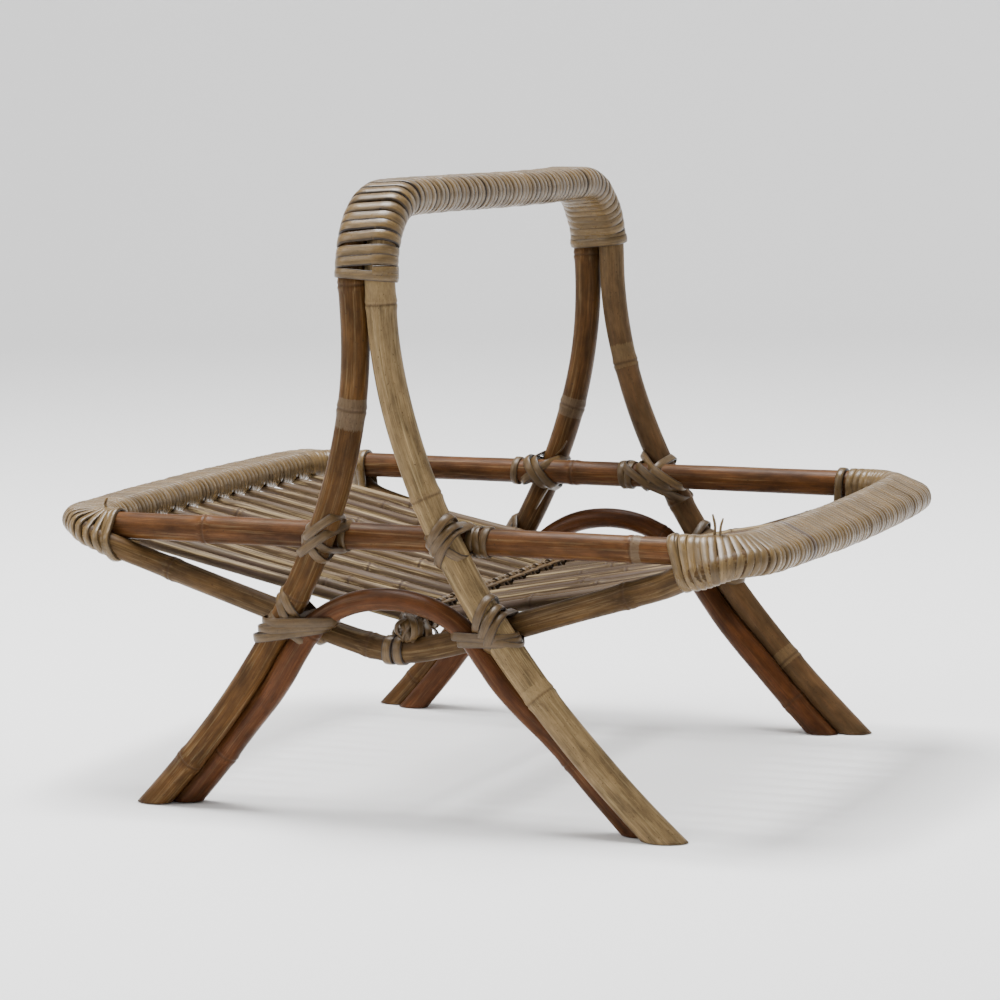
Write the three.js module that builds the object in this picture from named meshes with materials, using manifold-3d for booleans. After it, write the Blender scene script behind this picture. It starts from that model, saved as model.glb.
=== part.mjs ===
// Rattan magazine rack: two bent cane poles make the legs and the double
// carrying handle, a rim rod and two V-bent lower rails carry a trough of thin
// slats, and every joint is bound with wound cane strip.
//
// Millimetres, +Z up. X runs along the trough from left to right, -Y is the
// near side. The origin is on the floor, under the middle of the rack.

import * as THREE from 'three';
import { mergeVertices } from 'three/addons/utils/BufferGeometryUtils.js';
import Module from 'manifold-3d';

const wasm = await Module();
wasm.setup();

// ---------------------------------------------------------------- dimensions
const GAP = 0.35;                 // clearance between neighbouring pieces
const STRIP = 1.6;                // thickness of a layer of wound cane strip

const POLES = {                   // handle poles: radius, and distance of the axis from the middle at the top
  left: { hand: -1, radius: 8.1, top: 10.2 },
  right: { hand: 1, radius: 8.8, top: 7.6 },
};
const RIM_R = 8.25;               // rim rod
const RAIL_R = 7.75;              // lower rails
const ARCH_R = 6.75;              // arch rods between the legs
const BAR_R = 5.5;                // crossbar under the slats
const SLAT_R = 4;                 // slats of the trough

const HANDLE_Z = 366.5;             // handle bar axis
const HANDLE_BEND_R = 46;         // bend from leg to handle bar
const MERGE_Z = 305;              // height where the two poles come together
const FOOT_X = 167.5;             // feet's distance from the middle, before the lean
const SPREAD_POWER = 1.95;        // shape of that spread
const LEG_Y_FLOOR = 179;          // legs' distance from the middle at the floor
const LEG_Y_RISE = 0.0215;        // and how it grows with height
const LEAN = 0.041;               // handle leans left by this slope
const LEAN_Z = 165.6;             // height at which the lean is nil

const RIM_Z = 169;                // rim rod axis
const CORNER_X = 185;             // centres of the rim's round corners
const CORNER_R = 28;              // radius of those corners
const END_BOW = 6;                // outward bow of the rim's two ends

const RAIL_LOW_Z = 100.8;         // lowest point of a lower rail's V
const RAIL_TIP = 6.9;             // roundness of that V
const END_TURN = { left: 19, right: -19 };  // degrees: a rail's end lies outside the rim, above or below it

const ARCH_TOP_Z = { near: 134, far: 137 }; // peaks of the arch rods
const ARCH_LEAVE_Z = 100;         // height where an arch rod leaves its leg
const ARCH_IN = 10;               // how far an arch foot stands inside its leg

const BAR_X = 5;                  // crossbar, slightly off the middle
const SLATS_PER_SIDE = 14;
const SLAT_PITCH = 22;

const WRAP_FROM_X = 174;          // where an end binding starts on the rim
const WRAP_RAIL_X = 177;          // and where it takes in the lower rail
const HANDLE_WRAP_Z = 324;        // where the handle binding starts on the legs
const LASHING_W = 10;             // width of one crossing lashing's bands

// Derived places
const TOUCH = GAP + POLES.right.radius;
const legY = (z) => LEG_Y_FLOOR + LEG_Y_RISE * z;
const RIM_Y = legY(RIM_Z) - TOUCH - RIM_R;
const CORNER_Y = RIM_Y - CORNER_R;
const RAIL_Y = legY(115) - TOUCH - RAIL_R;
const RAIL_TOUCH = RIM_R + RAIL_R + GAP;
const ARCH_Y = RAIL_Y + RAIL_R + ARCH_R + GAP;
const BAR_Z = RAIL_LOW_Z + RAIL_R + BAR_R + 3 * GAP;

// ------------------------------------------------------------------- colours
const cane = (color, roughness) => new THREE.MeshStandardMaterial({ color, roughness, metalness: 0 });
const MATERIALS = {
  pole: cane('#84603c', 0.45),
  rim: cane('#98603a', 0.42),
  rail: cane('#8a5a36', 0.45),
  arch: cane('#70401f', 0.4),
  slat: cane('#83704f', 0.6),
  binding: cane('#a8906a', 0.62),
  lashing: cane('#86765d', 0.65),
};

// ------------------------------------------------------------------- helpers
function roundSection(radius, sides) {
  const points = [];
  for (let i = 0; i < sides; i += 1) {
    const angle = (2 * Math.PI * (i + 0.5)) / sides;
    points.push(new THREE.Vector2(radius * Math.cos(angle), radius * Math.sin(angle)));
  }
  return new THREE.Shape(points);
}

function sweep(points, shape, steps) {
  const path = new THREE.CatmullRomCurve3(points, false, 'centripetal');
  return new THREE.ExtrudeGeometry(shape, { steps, extrudePath: path, bevelEnabled: false });
}

function rod(points, radius, sides, steps) {
  return sweep(points, roundSection(radius, sides), steps);
}

function toSolid(geometry) {
  const bare = geometry.clone();
  bare.deleteAttribute('normal');
  bare.deleteAttribute('uv');
  const merged = mergeVertices(bare, 1e-4);
  const mesh = new wasm.Mesh({
    numProp: 3,
    vertProperties: new Float32Array(merged.attributes.position.array),
    triVerts: new Uint32Array(merged.index.array),
  });
  return new wasm.Manifold(mesh);
}

function toGeometry(solid) {
  const mesh = solid.getMesh();
  const geometry = new THREE.BufferGeometry();
  geometry.setAttribute('position', new THREE.BufferAttribute(mesh.vertProperties, 3));
  geometry.setIndex(new THREE.BufferAttribute(mesh.triVerts, 1));
  geometry.computeVertexNormals();
  return geometry;
}

// The whole handle frame leans: x shifts in proportion to height.
const leanMatrix = new THREE.Matrix4().set(
  1, 0, -LEAN, LEAN * LEAN_Z,
  0, 1, 0, 0,
  0, 0, 1, 0,
  0, 0, 0, 1,
);
const lean = (geometry) => geometry.applyMatrix4(leanMatrix);

const group = new THREE.Group();
function place(name, geometry, material) {
  const mesh = new THREE.Mesh(geometry, material);
  mesh.name = name;
  group.add(mesh);
  return mesh;
}

const SIDES = [['near', -1], ['far', 1]];
const HANDS = [['left', -1], ['right', 1]];

// Feet are sawn off level with the floor.
const FLOOR_BLOCK = 60;
const floorBlock = toSolid(new THREE.BoxGeometry(600, 600, FLOOR_BLOCK).translate(0, 0, -FLOOR_BLOCK / 2));
const sawnAtFloor = (geometry) => toGeometry(toSolid(geometry).subtract(floorBlock));

// ------------------------------------------------------------- handle poles
function legX(pole, z) {
  const below = Math.max(0, 1 - z / MERGE_Z);
  return pole.top + (FOOT_X - pole.top) * below ** SPREAD_POWER;
}

function legSlope(pole, z) {
  const below = Math.max(0, 1 - z / MERGE_Z);
  return (-(FOOT_X - pole.top) * SPREAD_POWER * below ** (SPREAD_POWER - 1)) / MERGE_Z;
}

// Axis of one pole, upright, from the near foot over the handle to the far foot.
function polePoints(pole) {
  const near = [];
  for (let z = -16; z < HANDLE_Z - HANDLE_BEND_R; z += 24) {
    near.push(new THREE.Vector3(pole.hand * legX(pole, z), -legY(z), z));
  }
  const bendY = legY(HANDLE_Z - HANDLE_BEND_R) - HANDLE_BEND_R;
  const topX = pole.hand * pole.top;
  for (let i = 0; i <= 5; i += 1) {
    const angle = (i / 5) * (Math.PI / 2);
    const y = -bendY - HANDLE_BEND_R * Math.cos(angle);
    const z = HANDLE_Z - HANDLE_BEND_R + HANDLE_BEND_R * Math.sin(angle);
    near.push(new THREE.Vector3(topX, y, z));
  }
  near.push(new THREE.Vector3(topX, -bendY / 2, HANDLE_Z));
  const far = near.map((p) => new THREE.Vector3(p.x, -p.y, p.z)).reverse();
  return [...near, ...far];
}

const poleRod = (pole, grow) => lean(rod(polePoints(pole), pole.radius + grow, 10, 40));

// ---------------------------------------------------------------- arch rods
// Each arch foot runs down beside its leg, one rod's width towards the middle.
function archHalf(pole, side, topZ) {
  const spacing = pole.radius + ARCH_R + GAP + 0.4;
  const half = [];
  for (let z = -12; z <= ARCH_LEAVE_Z; z += 14) {
    const inward = ARCH_IN * (1 - THREE.MathUtils.smoothstep(z, 45, 98));
    const y = ARCH_Y - inward;
    const apart = Math.sqrt(spacing ** 2 - (legY(z) - y) ** 2);
    const x = legX(pole, z) - apart * Math.hypot(1, legSlope(pole, z));
    half.push(new THREE.Vector3(pole.hand * x, side * y, z));
  }
  const last = half[half.length - 1];
  for (const [across, up] of [[0.76, 0.53], [0.42, 0.88]]) {
    half.push(new THREE.Vector3(last.x * across, side * ARCH_Y, last.z + (topZ - last.z) * up));
  }
  return half;
}

function archPoints(sideName, side) {
  const topZ = ARCH_TOP_Z[sideName];
  const peak = new THREE.Vector3(0, side * ARCH_Y, topZ);
  return [...archHalf(POLES.left, side, topZ), peak, ...archHalf(POLES.right, side, topZ).reverse()];
}

const archRod = (sideName, side, grow) => lean(rod(archPoints(sideName, side), ARCH_R + grow, 8, 30));

// ---------------------------------------------------------------- rim and rails
// The rim's end is a shallow bow between the two corners.
const rimEndX = (y) => CORNER_X + CORNER_R + END_BOW * (1 - (y / CORNER_Y) ** 2);

// A quarter turn round a rim corner, from the side (0) to the end (1), with a
// distance outside the rim and a height.
function cornerPoint(turn, out, z) {
  const angle = turn * (Math.PI / 2);
  const reach = CORNER_R + out;
  return new THREE.Vector3(CORNER_X + reach * Math.sin(angle), CORNER_Y + reach * Math.cos(angle), z);
}

// Stations from the middle of an end to the side: distances along the end, then
// shares of the corner's turn.
const END_YS = [0.2, 45, 90, 118];
const CORNER_TURNS = [0.8, 0.5, 0.25, 0];
const STATIONS = END_YS.length + CORNER_TURNS.length;

function rimQuarter() {
  const points = [];
  for (const y of END_YS) {
    points.push(new THREE.Vector3(rimEndX(y), y, RIM_Z));
  }
  for (const turn of CORNER_TURNS) {
    points.push(cornerPoint(turn, 0, RIM_Z));
  }
  for (const x of [150, 90]) {
    points.push(new THREE.Vector3(x, RIM_Y, RIM_Z));
  }
  return points;
}

function mirrored(points, sx, sy) {
  return points.map((p) => new THREE.Vector3(sx * p.x, sy * p.y, p.z));
}

// Once round the rack; the ends meet under the right binding.
function rimPoints() {
  const q = rimQuarter();
  const leftEnd = q.slice(1);
  return [
    ...q,
    new THREE.Vector3(0, RIM_Y, RIM_Z),
    ...mirrored(leftEnd, -1, 1).reverse(),
    ...mirrored(leftEnd, -1, -1),
    new THREE.Vector3(0, -RIM_Y, RIM_Z),
    ...mirrored(q, 1, -1).reverse(),
  ];
}

const rimRod = (grow) => rod(rimPoints(), RIM_R + grow, 10, 48);

// The V of a lower rail reaches the underside of the rim where the corner starts.
const RAIL_CORNER_Z = RIM_Z - RAIL_TOUCH + 1;
const RAIL_SLOPE = Math.sqrt((RAIL_CORNER_Z - RAIL_LOW_Z + RAIL_TIP) ** 2 - RAIL_TIP ** 2) / CORNER_X;
const railZ = (x) => RAIL_LOW_Z + Math.hypot(RAIL_SLOPE * x, RAIL_TIP) - RAIL_TIP;

// Round a corner the rail rolls from under the rim to its outer side.
function railHalf(handName) {
  const apart = RAIL_TOUCH + 0.2;
  const endTurn = THREE.MathUtils.degToRad(END_TURN[handName]);
  const points = [];
  for (const x of [12, 30, 60, 100, 140, 168]) {
    points.push(new THREE.Vector3(x, RAIL_Y, railZ(x)));
  }
  for (const turn of [...CORNER_TURNS].reverse()) {
    const done = THREE.MathUtils.smoothstep(turn, -0.45, 0.6);
    const roll = THREE.MathUtils.lerp(-Math.PI / 2, endTurn, done);
    points.push(cornerPoint(turn, apart * Math.cos(roll), RIM_Z + apart * Math.sin(roll)));
  }
  for (const y of [...END_YS].reverse()) {
    const x = rimEndX(y) + apart * Math.cos(endTurn);
    points.push(new THREE.Vector3(x, y, RIM_Z + apart * Math.sin(endTurn)));
  }
  return points;
}

function railPoints(side) {
  const bottom = new THREE.Vector3(0, side * RAIL_Y, RAIL_LOW_Z);
  const leftHalf = mirrored(railHalf('left'), -1, side).reverse();
  return [...leftHalf, bottom, ...mirrored(railHalf('right'), 1, side)];
}

const railRod = (side, grow) => rod(railPoints(side), RAIL_R + grow, 8, 44);

// -------------------------------------------------------- crossbar and slats
const BAR_HALF = RAIL_Y + RAIL_R;

function straightRod(from, to, radius, sides) {
  const path = new THREE.LineCurve3(from, to);
  const shape = roundSection(radius, sides);
  return new THREE.ExtrudeGeometry(shape, { steps: 1, extrudePath: path, bevelEnabled: false });
}

const crossbar = straightRod(
  new THREE.Vector3(BAR_X, -BAR_HALF, BAR_Z),
  new THREE.Vector3(BAR_X, BAR_HALF, BAR_Z),
  BAR_R,
  10,
);

// A slat runs from the side of the crossbar to a place just under the rim's end.
const SLAT_BAR_Z = BAR_Z + 2.5;
const SLAT_END_DROP = RIM_R + SLAT_R + 1;
const SLAT_PAST_RIM = 4;

function slatRod(hand, y, grow) {
  const rimX = rimEndX(y);
  const fromX = hand * (BAR_R + 0.6);
  const slope = (RIM_Z - SLAT_END_DROP - SLAT_BAR_Z) / (rimX - Math.abs(fromX));
  const from = new THREE.Vector3(BAR_X + fromX, y, SLAT_BAR_Z);
  const toZ = RIM_Z - SLAT_END_DROP + slope * (SLAT_PAST_RIM + grow);
  const to = new THREE.Vector3(hand * (rimX + SLAT_PAST_RIM + grow), y, toZ);
  return straightRod(from, to, SLAT_R + grow, 8);
}

const slatY = (index) => (index - (SLATS_PER_SIDE - 1) / 2) * SLAT_PITCH;

// ------------------------------------------------------------------ bindings
// An end binding is wound round the rim, the lower rails and the slat ends.
function endBinding(handName, hand) {
  const rim = rimQuarter().slice(0, STATIONS).reverse();
  const rail = railHalf(handName).slice(-STATIONS);
  const between = rim.map((p, i) => p.clone().lerp(rail[i], 0.5)).slice(1);
  rim.unshift(new THREE.Vector3(WRAP_FROM_X, RIM_Y, RIM_Z));
  rail.unshift(new THREE.Vector3(WRAP_RAIL_X, RAIL_Y, railZ(WRAP_RAIL_X)));
  const acrossEnd = (points) => {
    const farHalf = mirrored(points.slice(0, -1), hand, 1);
    const nearHalf = mirrored(points.slice(0, -1), hand, -1).reverse();
    return [...farHalf, ...nearHalf];
  };
  const outer = toSolid(rod(acrossEnd(rim), RIM_R + GAP + STRIP, 8, 18));
  const lower = toSolid(rod(acrossEnd(rail), RAIL_R + GAP + STRIP, 8, 18));
  const filler = toSolid(rod(acrossEnd(between), RAIL_R, 6, 12));
  let solid = outer.add(lower).add(filler);
  solid = solid.subtract(toSolid(rimRod(GAP)));
  for (const [, side] of SIDES) {
    solid = solid.subtract(toSolid(railRod(side, GAP)));
  }
  for (let i = 0; i < SLATS_PER_SIDE; i += 1) {
    solid = solid.subtract(toSolid(slatRod(hand, slatY(i), GAP)));
  }
  return toGeometry(solid);
}

// The handle binding holds both poles, over the bar and down to the bends' feet.
function stadium(halfWidth, radius) {
  const shape = new THREE.Shape();
  const flat = halfWidth - radius;
  shape.absarc(0, flat, radius, 0, Math.PI, false);
  shape.absarc(0, -flat, radius, Math.PI, 2 * Math.PI, false);
  return shape;
}

function handleBinding() {
  const { left, right } = POLES;
  const middleX = (right.top + right.radius - left.top - left.radius) / 2;
  const halfWidth = (right.top + right.radius + left.top + left.radius) / 2;
  const centre = polePoints(POLES.right)
    .filter((p) => p.z > HANDLE_WRAP_Z + 2)
    .map((p) => new THREE.Vector3(middleX, p.y, p.z));
  const startY = -legY(HANDLE_WRAP_Z);
  centre.unshift(new THREE.Vector3(middleX, startY, HANDLE_WRAP_Z));
  centre.push(new THREE.Vector3(middleX, -startY, HANDLE_WRAP_Z));
  const path = new THREE.CatmullRomCurve3(centre, false, 'centripetal');
  const clear = GAP + 0.1;
  const outer = stadium(halfWidth + clear + STRIP, right.radius + clear + STRIP);
  const turned = new THREE.Shape(outer.getPoints(3).map((p) => new THREE.Vector2(p.y, p.x)).reverse());
  const options = { steps: 20, extrudePath: path, bevelEnabled: false };
  let solid = toSolid(lean(new THREE.ExtrudeGeometry(turned, options)));
  for (const pole of [left, right]) {
    solid = solid.subtract(toSolid(poleRod(pole, clear)));
  }
  return toGeometry(solid);
}

// A crossing lashing is two bands that cross over the rods. `axis` is the
// direction in which the rods lie on each other.
function ring(centre, normal, axis, rods, width) {
  const across = new THREE.Vector3().crossVectors(axis, normal).normalize();
  const low = new THREE.Vector2(Infinity, Infinity);
  const high = new THREE.Vector2(-Infinity, -Infinity);
  for (const { point, direction, radius } of rods) {
    const along = direction.dot(normal);
    const shift = centre.clone().sub(point).dot(normal) / along;
    const hit = point.clone().addScaledVector(direction, shift).sub(centre);
    const slide = (width / 2) * Math.abs(direction.dot(across) / along);
    const reachA = radius / Math.abs(along) + slide + GAP;
    const reachB = radius + GAP;
    const a = hit.dot(across);
    const b = hit.dot(axis);
    low.min(new THREE.Vector2(a - reachA, b - reachB));
    high.max(new THREE.Vector2(a + reachA, b + reachB));
  }
  const shape = roundedBox(low, high, 6 + STRIP, STRIP);
  shape.holes.push(roundedBox(low, high, 6, 0));
  const geometry = new THREE.ExtrudeGeometry(shape, { depth: width, bevelEnabled: false, curveSegments: 2 });
  geometry.translate(0, 0, -width / 2);
  const basis = new THREE.Matrix4().makeBasis(across, axis, normal.clone().normalize());
  return toSolid(geometry.applyMatrix4(basis).translate(centre.x, centre.y, centre.z));
}

function roundedBox(low, high, corner, grow) {
  const x0 = low.x - grow;
  const x1 = high.x + grow;
  const y0 = low.y - grow;
  const y1 = high.y + grow;
  const shape = new THREE.Shape();
  shape.absarc(x1 - corner, y1 - corner, corner, 0, Math.PI / 2, false);
  shape.absarc(x0 + corner, y1 - corner, corner, Math.PI / 2, Math.PI, false);
  shape.absarc(x0 + corner, y0 + corner, corner, Math.PI, 1.5 * Math.PI, false);
  shape.absarc(x1 - corner, y0 + corner, corner, 1.5 * Math.PI, 2 * Math.PI, false);
  return shape;
}

const leanX = (x, z) => x - LEAN * (z - LEAN_Z);
const unit = (x, y, z) => new THREE.Vector3(x, y, z).normalize();

function lashing(axis, rods, width, clearOf) {
  const [first, second] = rods;
  const centre = first.point.clone().add(second.point).multiplyScalar(0.5);
  let solid = null;
  for (const turn of [1, -1]) {
    const normal = second.direction.clone().multiplyScalar(turn).add(first.direction).normalize();
    const upright = axis.clone().addScaledVector(normal, -axis.dot(normal)).normalize();
    const band = ring(centre, normal, upright, rods, width);
    solid = solid ? solid.add(band) : band;
  }
  for (const other of clearOf) {
    solid = solid.subtract(other);
  }
  return toGeometry(solid);
}

// Where a leg passes a rail: the leg's axis point at height z, with its direction.
function legAt(pole, side, z) {
  return {
    point: new THREE.Vector3(leanX(pole.hand * legX(pole, z), z), side * legY(z), z),
    direction: unit(pole.hand * legSlope(pole, z) - LEAN, side * LEG_Y_RISE, 1),
    radius: pole.radius,
  };
}

function crossingZ(pole, railHeight) {
  let z = RIM_Z;
  for (let i = 0; i < 30; i += 1) {
    z = (z + railHeight(Math.abs(leanX(pole.hand * legX(pole, z), z)))) / 2;
  }
  return z;
}

// ------------------------------------------------------------------ assembly
for (const [handName, pole] of Object.entries(POLES)) {
  place(`handle_pole_${handName}`, sawnAtFloor(poleRod(pole, 0)), MATERIALS.pole);
}
for (const [sideName, side] of SIDES) {
  place(`${sideName}_arch_rod`, sawnAtFloor(archRod(sideName, side, 0)), MATERIALS.arch);
}
place('rim_rod', rimRod(0), MATERIALS.rim);
for (const [sideName, side] of SIDES) {
  place(`${sideName}_lower_rail`, railRod(side, 0), MATERIALS.rail);
}
place('crossbar', crossbar, MATERIALS.rail);
for (const [handName, hand] of HANDS) {
  for (let i = 0; i < SLATS_PER_SIDE; i += 1) {
    const number = String(i + 1).padStart(2, '0');
    place(`slat_${handName}_${number}`, slatRod(hand, slatY(i), 0), MATERIALS.slat);
  }
}

place('handle_binding', handleBinding(), MATERIALS.binding);
for (const [handName, hand] of HANDS) {
  place(`${handName}_end_binding`, endBinding(handName, hand), MATERIALS.binding);
}

const outward = (side) => new THREE.Vector3(0, side, 0);
for (const [sideName, side] of SIDES) {
  const rodsHere = [
    toSolid(rimRod(GAP)),
    toSolid(railRod(side, GAP)),
    toSolid(archRod(sideName, side, GAP)),
    ...Object.values(POLES).map((pole) => toSolid(poleRod(pole, GAP))),
  ];
  for (const [handName, pole] of Object.entries(POLES)) {
    const top = legAt(pole, side, RIM_Z);
    const rim = {
      point: new THREE.Vector3(top.point.x, side * RIM_Y, RIM_Z),
      direction: unit(1, 0, 0),
      radius: RIM_R,
    };
    const topName = `top_lashing_${sideName}_${handName}`;
    place(topName, lashing(outward(side), [top, rim], LASHING_W, rodsHere), MATERIALS.lashing);

    const lowZ = crossingZ(pole, railZ);
    const leg = legAt(pole, side, lowZ);
    const rail = {
      point: new THREE.Vector3(leg.point.x, side * RAIL_Y, lowZ),
      direction: unit(1, 0, pole.hand * RAIL_SLOPE),
      radius: RAIL_R,
    };
    const beside = (pole.radius + ARCH_R + GAP) * Math.hypot(1, legSlope(pole, lowZ));
    const arch = {
      point: new THREE.Vector3(leg.point.x - pole.hand * beside, side * ARCH_Y, lowZ),
      direction: leg.direction,
      radius: ARCH_R,
    };
    const lowName = `lower_lashing_${sideName}_${handName}`;
    place(lowName, lashing(outward(side), [leg, rail, arch], LASHING_W, rodsHere), MATERIALS.lashing);
  }

  const barEnd = {
    point: new THREE.Vector3(BAR_X, side * RAIL_Y, BAR_Z),
    direction: unit(0, 1, 0),
    radius: BAR_R,
  };
  const railMiddle = {
    point: new THREE.Vector3(BAR_X, side * RAIL_Y, railZ(BAR_X)),
    direction: unit(1, 0, 0),
    radius: RAIL_R,
  };
  const tieClear = [...rodsHere, toSolid(crossbar.clone())];
  const tie = lashing(unit(0, 0, 1), [barEnd, railMiddle], 7, tieClear);
  place(`crossbar_tie_${sideName}`, tie, MATERIALS.lashing);
}

// The lacing strip lies over the crossbar, along the inner ends of the slats.
const LACING_W = 11;
const LACING_Z = SLAT_BAR_Z + SLAT_R + 0.5;
const lacing = new THREE.BoxGeometry(LACING_W, SLAT_PITCH * SLATS_PER_SIDE, STRIP);
lacing.translate(BAR_X, 0, LACING_Z + STRIP / 2);
place('slat_lacing', lacing, MATERIALS.lashing);

export default group;
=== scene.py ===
"""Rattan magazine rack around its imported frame: bent cane rods, thin slats, wound cane strip.

Everything is worked out in millimetres in the frame's own axes and becomes metres when a mesh is made.
"""

import math
import random

import bpy
import numpy as np
from mathutils import Matrix, Vector


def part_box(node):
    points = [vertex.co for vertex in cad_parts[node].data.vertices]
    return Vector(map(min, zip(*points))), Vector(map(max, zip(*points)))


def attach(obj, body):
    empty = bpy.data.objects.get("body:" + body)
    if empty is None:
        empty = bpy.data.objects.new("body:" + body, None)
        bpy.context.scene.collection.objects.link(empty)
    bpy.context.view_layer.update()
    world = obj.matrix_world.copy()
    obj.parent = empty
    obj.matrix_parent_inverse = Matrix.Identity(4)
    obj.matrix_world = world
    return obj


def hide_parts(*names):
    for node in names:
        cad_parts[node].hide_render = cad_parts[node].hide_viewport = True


bl_info = {
    "name": "Rattan Magazine Rack",
    "version": (1, 0, 0),
    "blender": (4, 5, 0),
    "location": "View3D > Sidebar > Rack",
    "description": "Builds the cane rods, slats and wound bindings of a rattan magazine rack",
    "category": "Add Mesh",
}

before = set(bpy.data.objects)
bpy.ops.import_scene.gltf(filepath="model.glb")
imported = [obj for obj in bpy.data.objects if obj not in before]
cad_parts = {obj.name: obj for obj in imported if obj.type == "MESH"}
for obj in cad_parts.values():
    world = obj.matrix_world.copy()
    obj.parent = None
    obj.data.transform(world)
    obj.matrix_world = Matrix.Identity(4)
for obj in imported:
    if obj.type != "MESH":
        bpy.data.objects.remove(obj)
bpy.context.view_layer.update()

MM = 0.001
X_AXIS = np.array([1.0, 0.0, 0.0])
Y_AXIS = np.array([0.0, 1.0, 0.0])
Z_AXIS = np.array([0.0, 0.0, 1.0])


# ------------------------------------------------------------------ the frame's driving dimensions
def node_box(node):
    """Lowest and highest corner of a frame node, in millimetres."""
    low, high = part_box(node)
    return np.array(low) / MM, np.array(high) / MM


RIM_LOW, RIM_HIGH = node_box("rim_rod")
POLES = {
    "left": {"hand": -1, "radius": 8.1, "top": 10.2},
    "right": {"hand": 1, "radius": 8.8, "top": 7.6},
}
RIM_R = 8.25
RAIL_R = 7.75
ARCH_R = 6.75
BAR_R = 5.5
SLAT_R = 4.0
GAP = 0.35
LASHING_STRIP = 5.4
LASHING_THICK = 1.2
LASHING_SHADE_EDGE = 2.6  # from a lashing strip's middle to where the painted shade along its edge ends

# The handle frame: the bar's height, its bends, where the two poles part, and how the legs spread.
HANDLE_Z = 366.5
BEND_R = 46.0
NEAR_BEND_LIFT = 4.6
MERGE_Z = 305.0
FOOT_X = 167.5
SPREAD_POWER = 1.95
LEAN = 0.041
LEAN_Z = 165.6
RIM_Z = (RIM_LOW[2] + RIM_HIGH[2]) / 2
# The rim's corners and its bowed ends, and the V of the lower rails.
CORNER_X = 185.0
CORNER_R = 28.0
END_BOW = 6.0
RAIL_LOW_Z = 100.8
RAIL_TIP = 6.9
END_TURN = {"left": math.radians(4), "right": math.radians(-19)}
END_RAIL_R = {"left": 6.7, "right": 6.8}
END_REACH = {"left": 0.0, "right": 2.4}
ARCH_TOP_Z = {"near": 134.0, "far": 137.0}
ARCH_LEAVE_Z = 100
ARCH_IN = 10.0
BAR_X = 5.0
SLATS_PER_SIDE = 14
SLAT_PITCH = 22.0
HANDS = {"left": -1, "right": 1}
SIDES = {"near": -1, "far": 1}


def leg_y(z):
    return 179 + 0.0215 * z


RIM_Y = leg_y(RIM_Z) - POLES["right"]["radius"] - GAP - RIM_R
CORNER_Y = RIM_Y - CORNER_R
RAIL_Y = leg_y(115) - POLES["right"]["radius"] - GAP - RAIL_R
RAIL_TOUCH = RIM_R + RAIL_R + GAP
ARCH_Y = RAIL_Y + RAIL_R + ARCH_R + GAP
BAR_Z = RAIL_LOW_Z + RAIL_R + BAR_R + 3 * GAP
SLAT_BAR_Z = BAR_Z + 2.5
SLAT_END_DROP = RIM_R + SLAT_R + 1


def smoothstep(value, low, high):
    t = min(1.0, max(0.0, (value - low) / (high - low)))
    return t * t * (3 - 2 * t)


def unit(vector):
    return vector / np.linalg.norm(vector)


def unit_rows(vectors):
    return vectors / np.linalg.norm(vectors, axis=1, keepdims=True)


# ------------------------------------------------------------------------------- rod centre lines
def leaned(points):
    """The handle frame leans to the left: x shifts with height."""
    points = np.array(points, float)
    points[:, 0] -= LEAN * (points[:, 2] - LEAN_Z)
    return points


def mirrored(points, sx, sy):
    return np.array(points, float) * np.array([sx, sy, 1.0])


def smooth_curve(points, per_span=10):
    """Centripetal Catmull-Rom curve through the points, the ends carried straight on."""
    p = np.array(points, float)
    p = np.vstack([2 * p[0] - p[1], p, 2 * p[-1] - p[-2]])
    out = []
    for i in range(1, len(p) - 2):
        knots = [0.0]
        for k in range(3):
            gap = max(np.linalg.norm(p[i + k] - p[i + k - 1]), 1e-6)
            knots.append(knots[-1] + math.sqrt(gap))
        for t in np.linspace(knots[1], knots[2], per_span, endpoint=False):
            a = [lerp(p[i + k - 1], p[i + k], t, knots[k], knots[k + 1]) for k in range(3)]
            b = [lerp(a[k], a[k + 1], t, knots[k], knots[k + 2]) for k in range(2)]
            out.append(lerp(b[0], b[1], t, knots[1], knots[2]))
    out.append(p[-2])
    return np.array(out)


def lerp(a, b, t, t0, t1):
    """The value at t on the straight way from a at t0 to b at t1."""
    return a + (b - a) * ((t - t0) / (t1 - t0))


def leg_x(pole, z):
    below = max(0.0, 1 - z / MERGE_Z)
    return pole["top"] + (FOOT_X - pole["top"]) * below**SPREAD_POWER


def leg_slope(pole, z):
    return leg_x(pole, z + 0.5) - leg_x(pole, z - 0.5)


def pole_line(pole):
    """One handle pole from below its near foot, over the handle, to below its far foot."""
    half = [(pole["hand"] * leg_x(pole, z), -leg_y(z), z) for z in range(-16, int(HANDLE_Z - BEND_R), 8)]
    bend_y = leg_y(HANDLE_Z - BEND_R) - BEND_R
    x = pole["hand"] * pole["top"]
    for angle in np.linspace(0, math.pi / 2, 12):
        y = -bend_y - BEND_R * math.cos(angle)
        half.append((x, y, HANDLE_Z - BEND_R + BEND_R * math.sin(angle)))
    half.append((x, -bend_y / 2, HANDLE_Z))
    half = np.array(half)
    line = leaned(smooth_curve(np.vstack([half, mirrored(half[::-1], 1, -1)]), 4))
    # The handle bar stands a little higher at its near end.
    for point in line:
        point[2] += NEAR_BEND_LIFT * smoothstep(point[2], 290, 360) * (1 - smoothstep(point[1], -160, 120))
    return line


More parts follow.
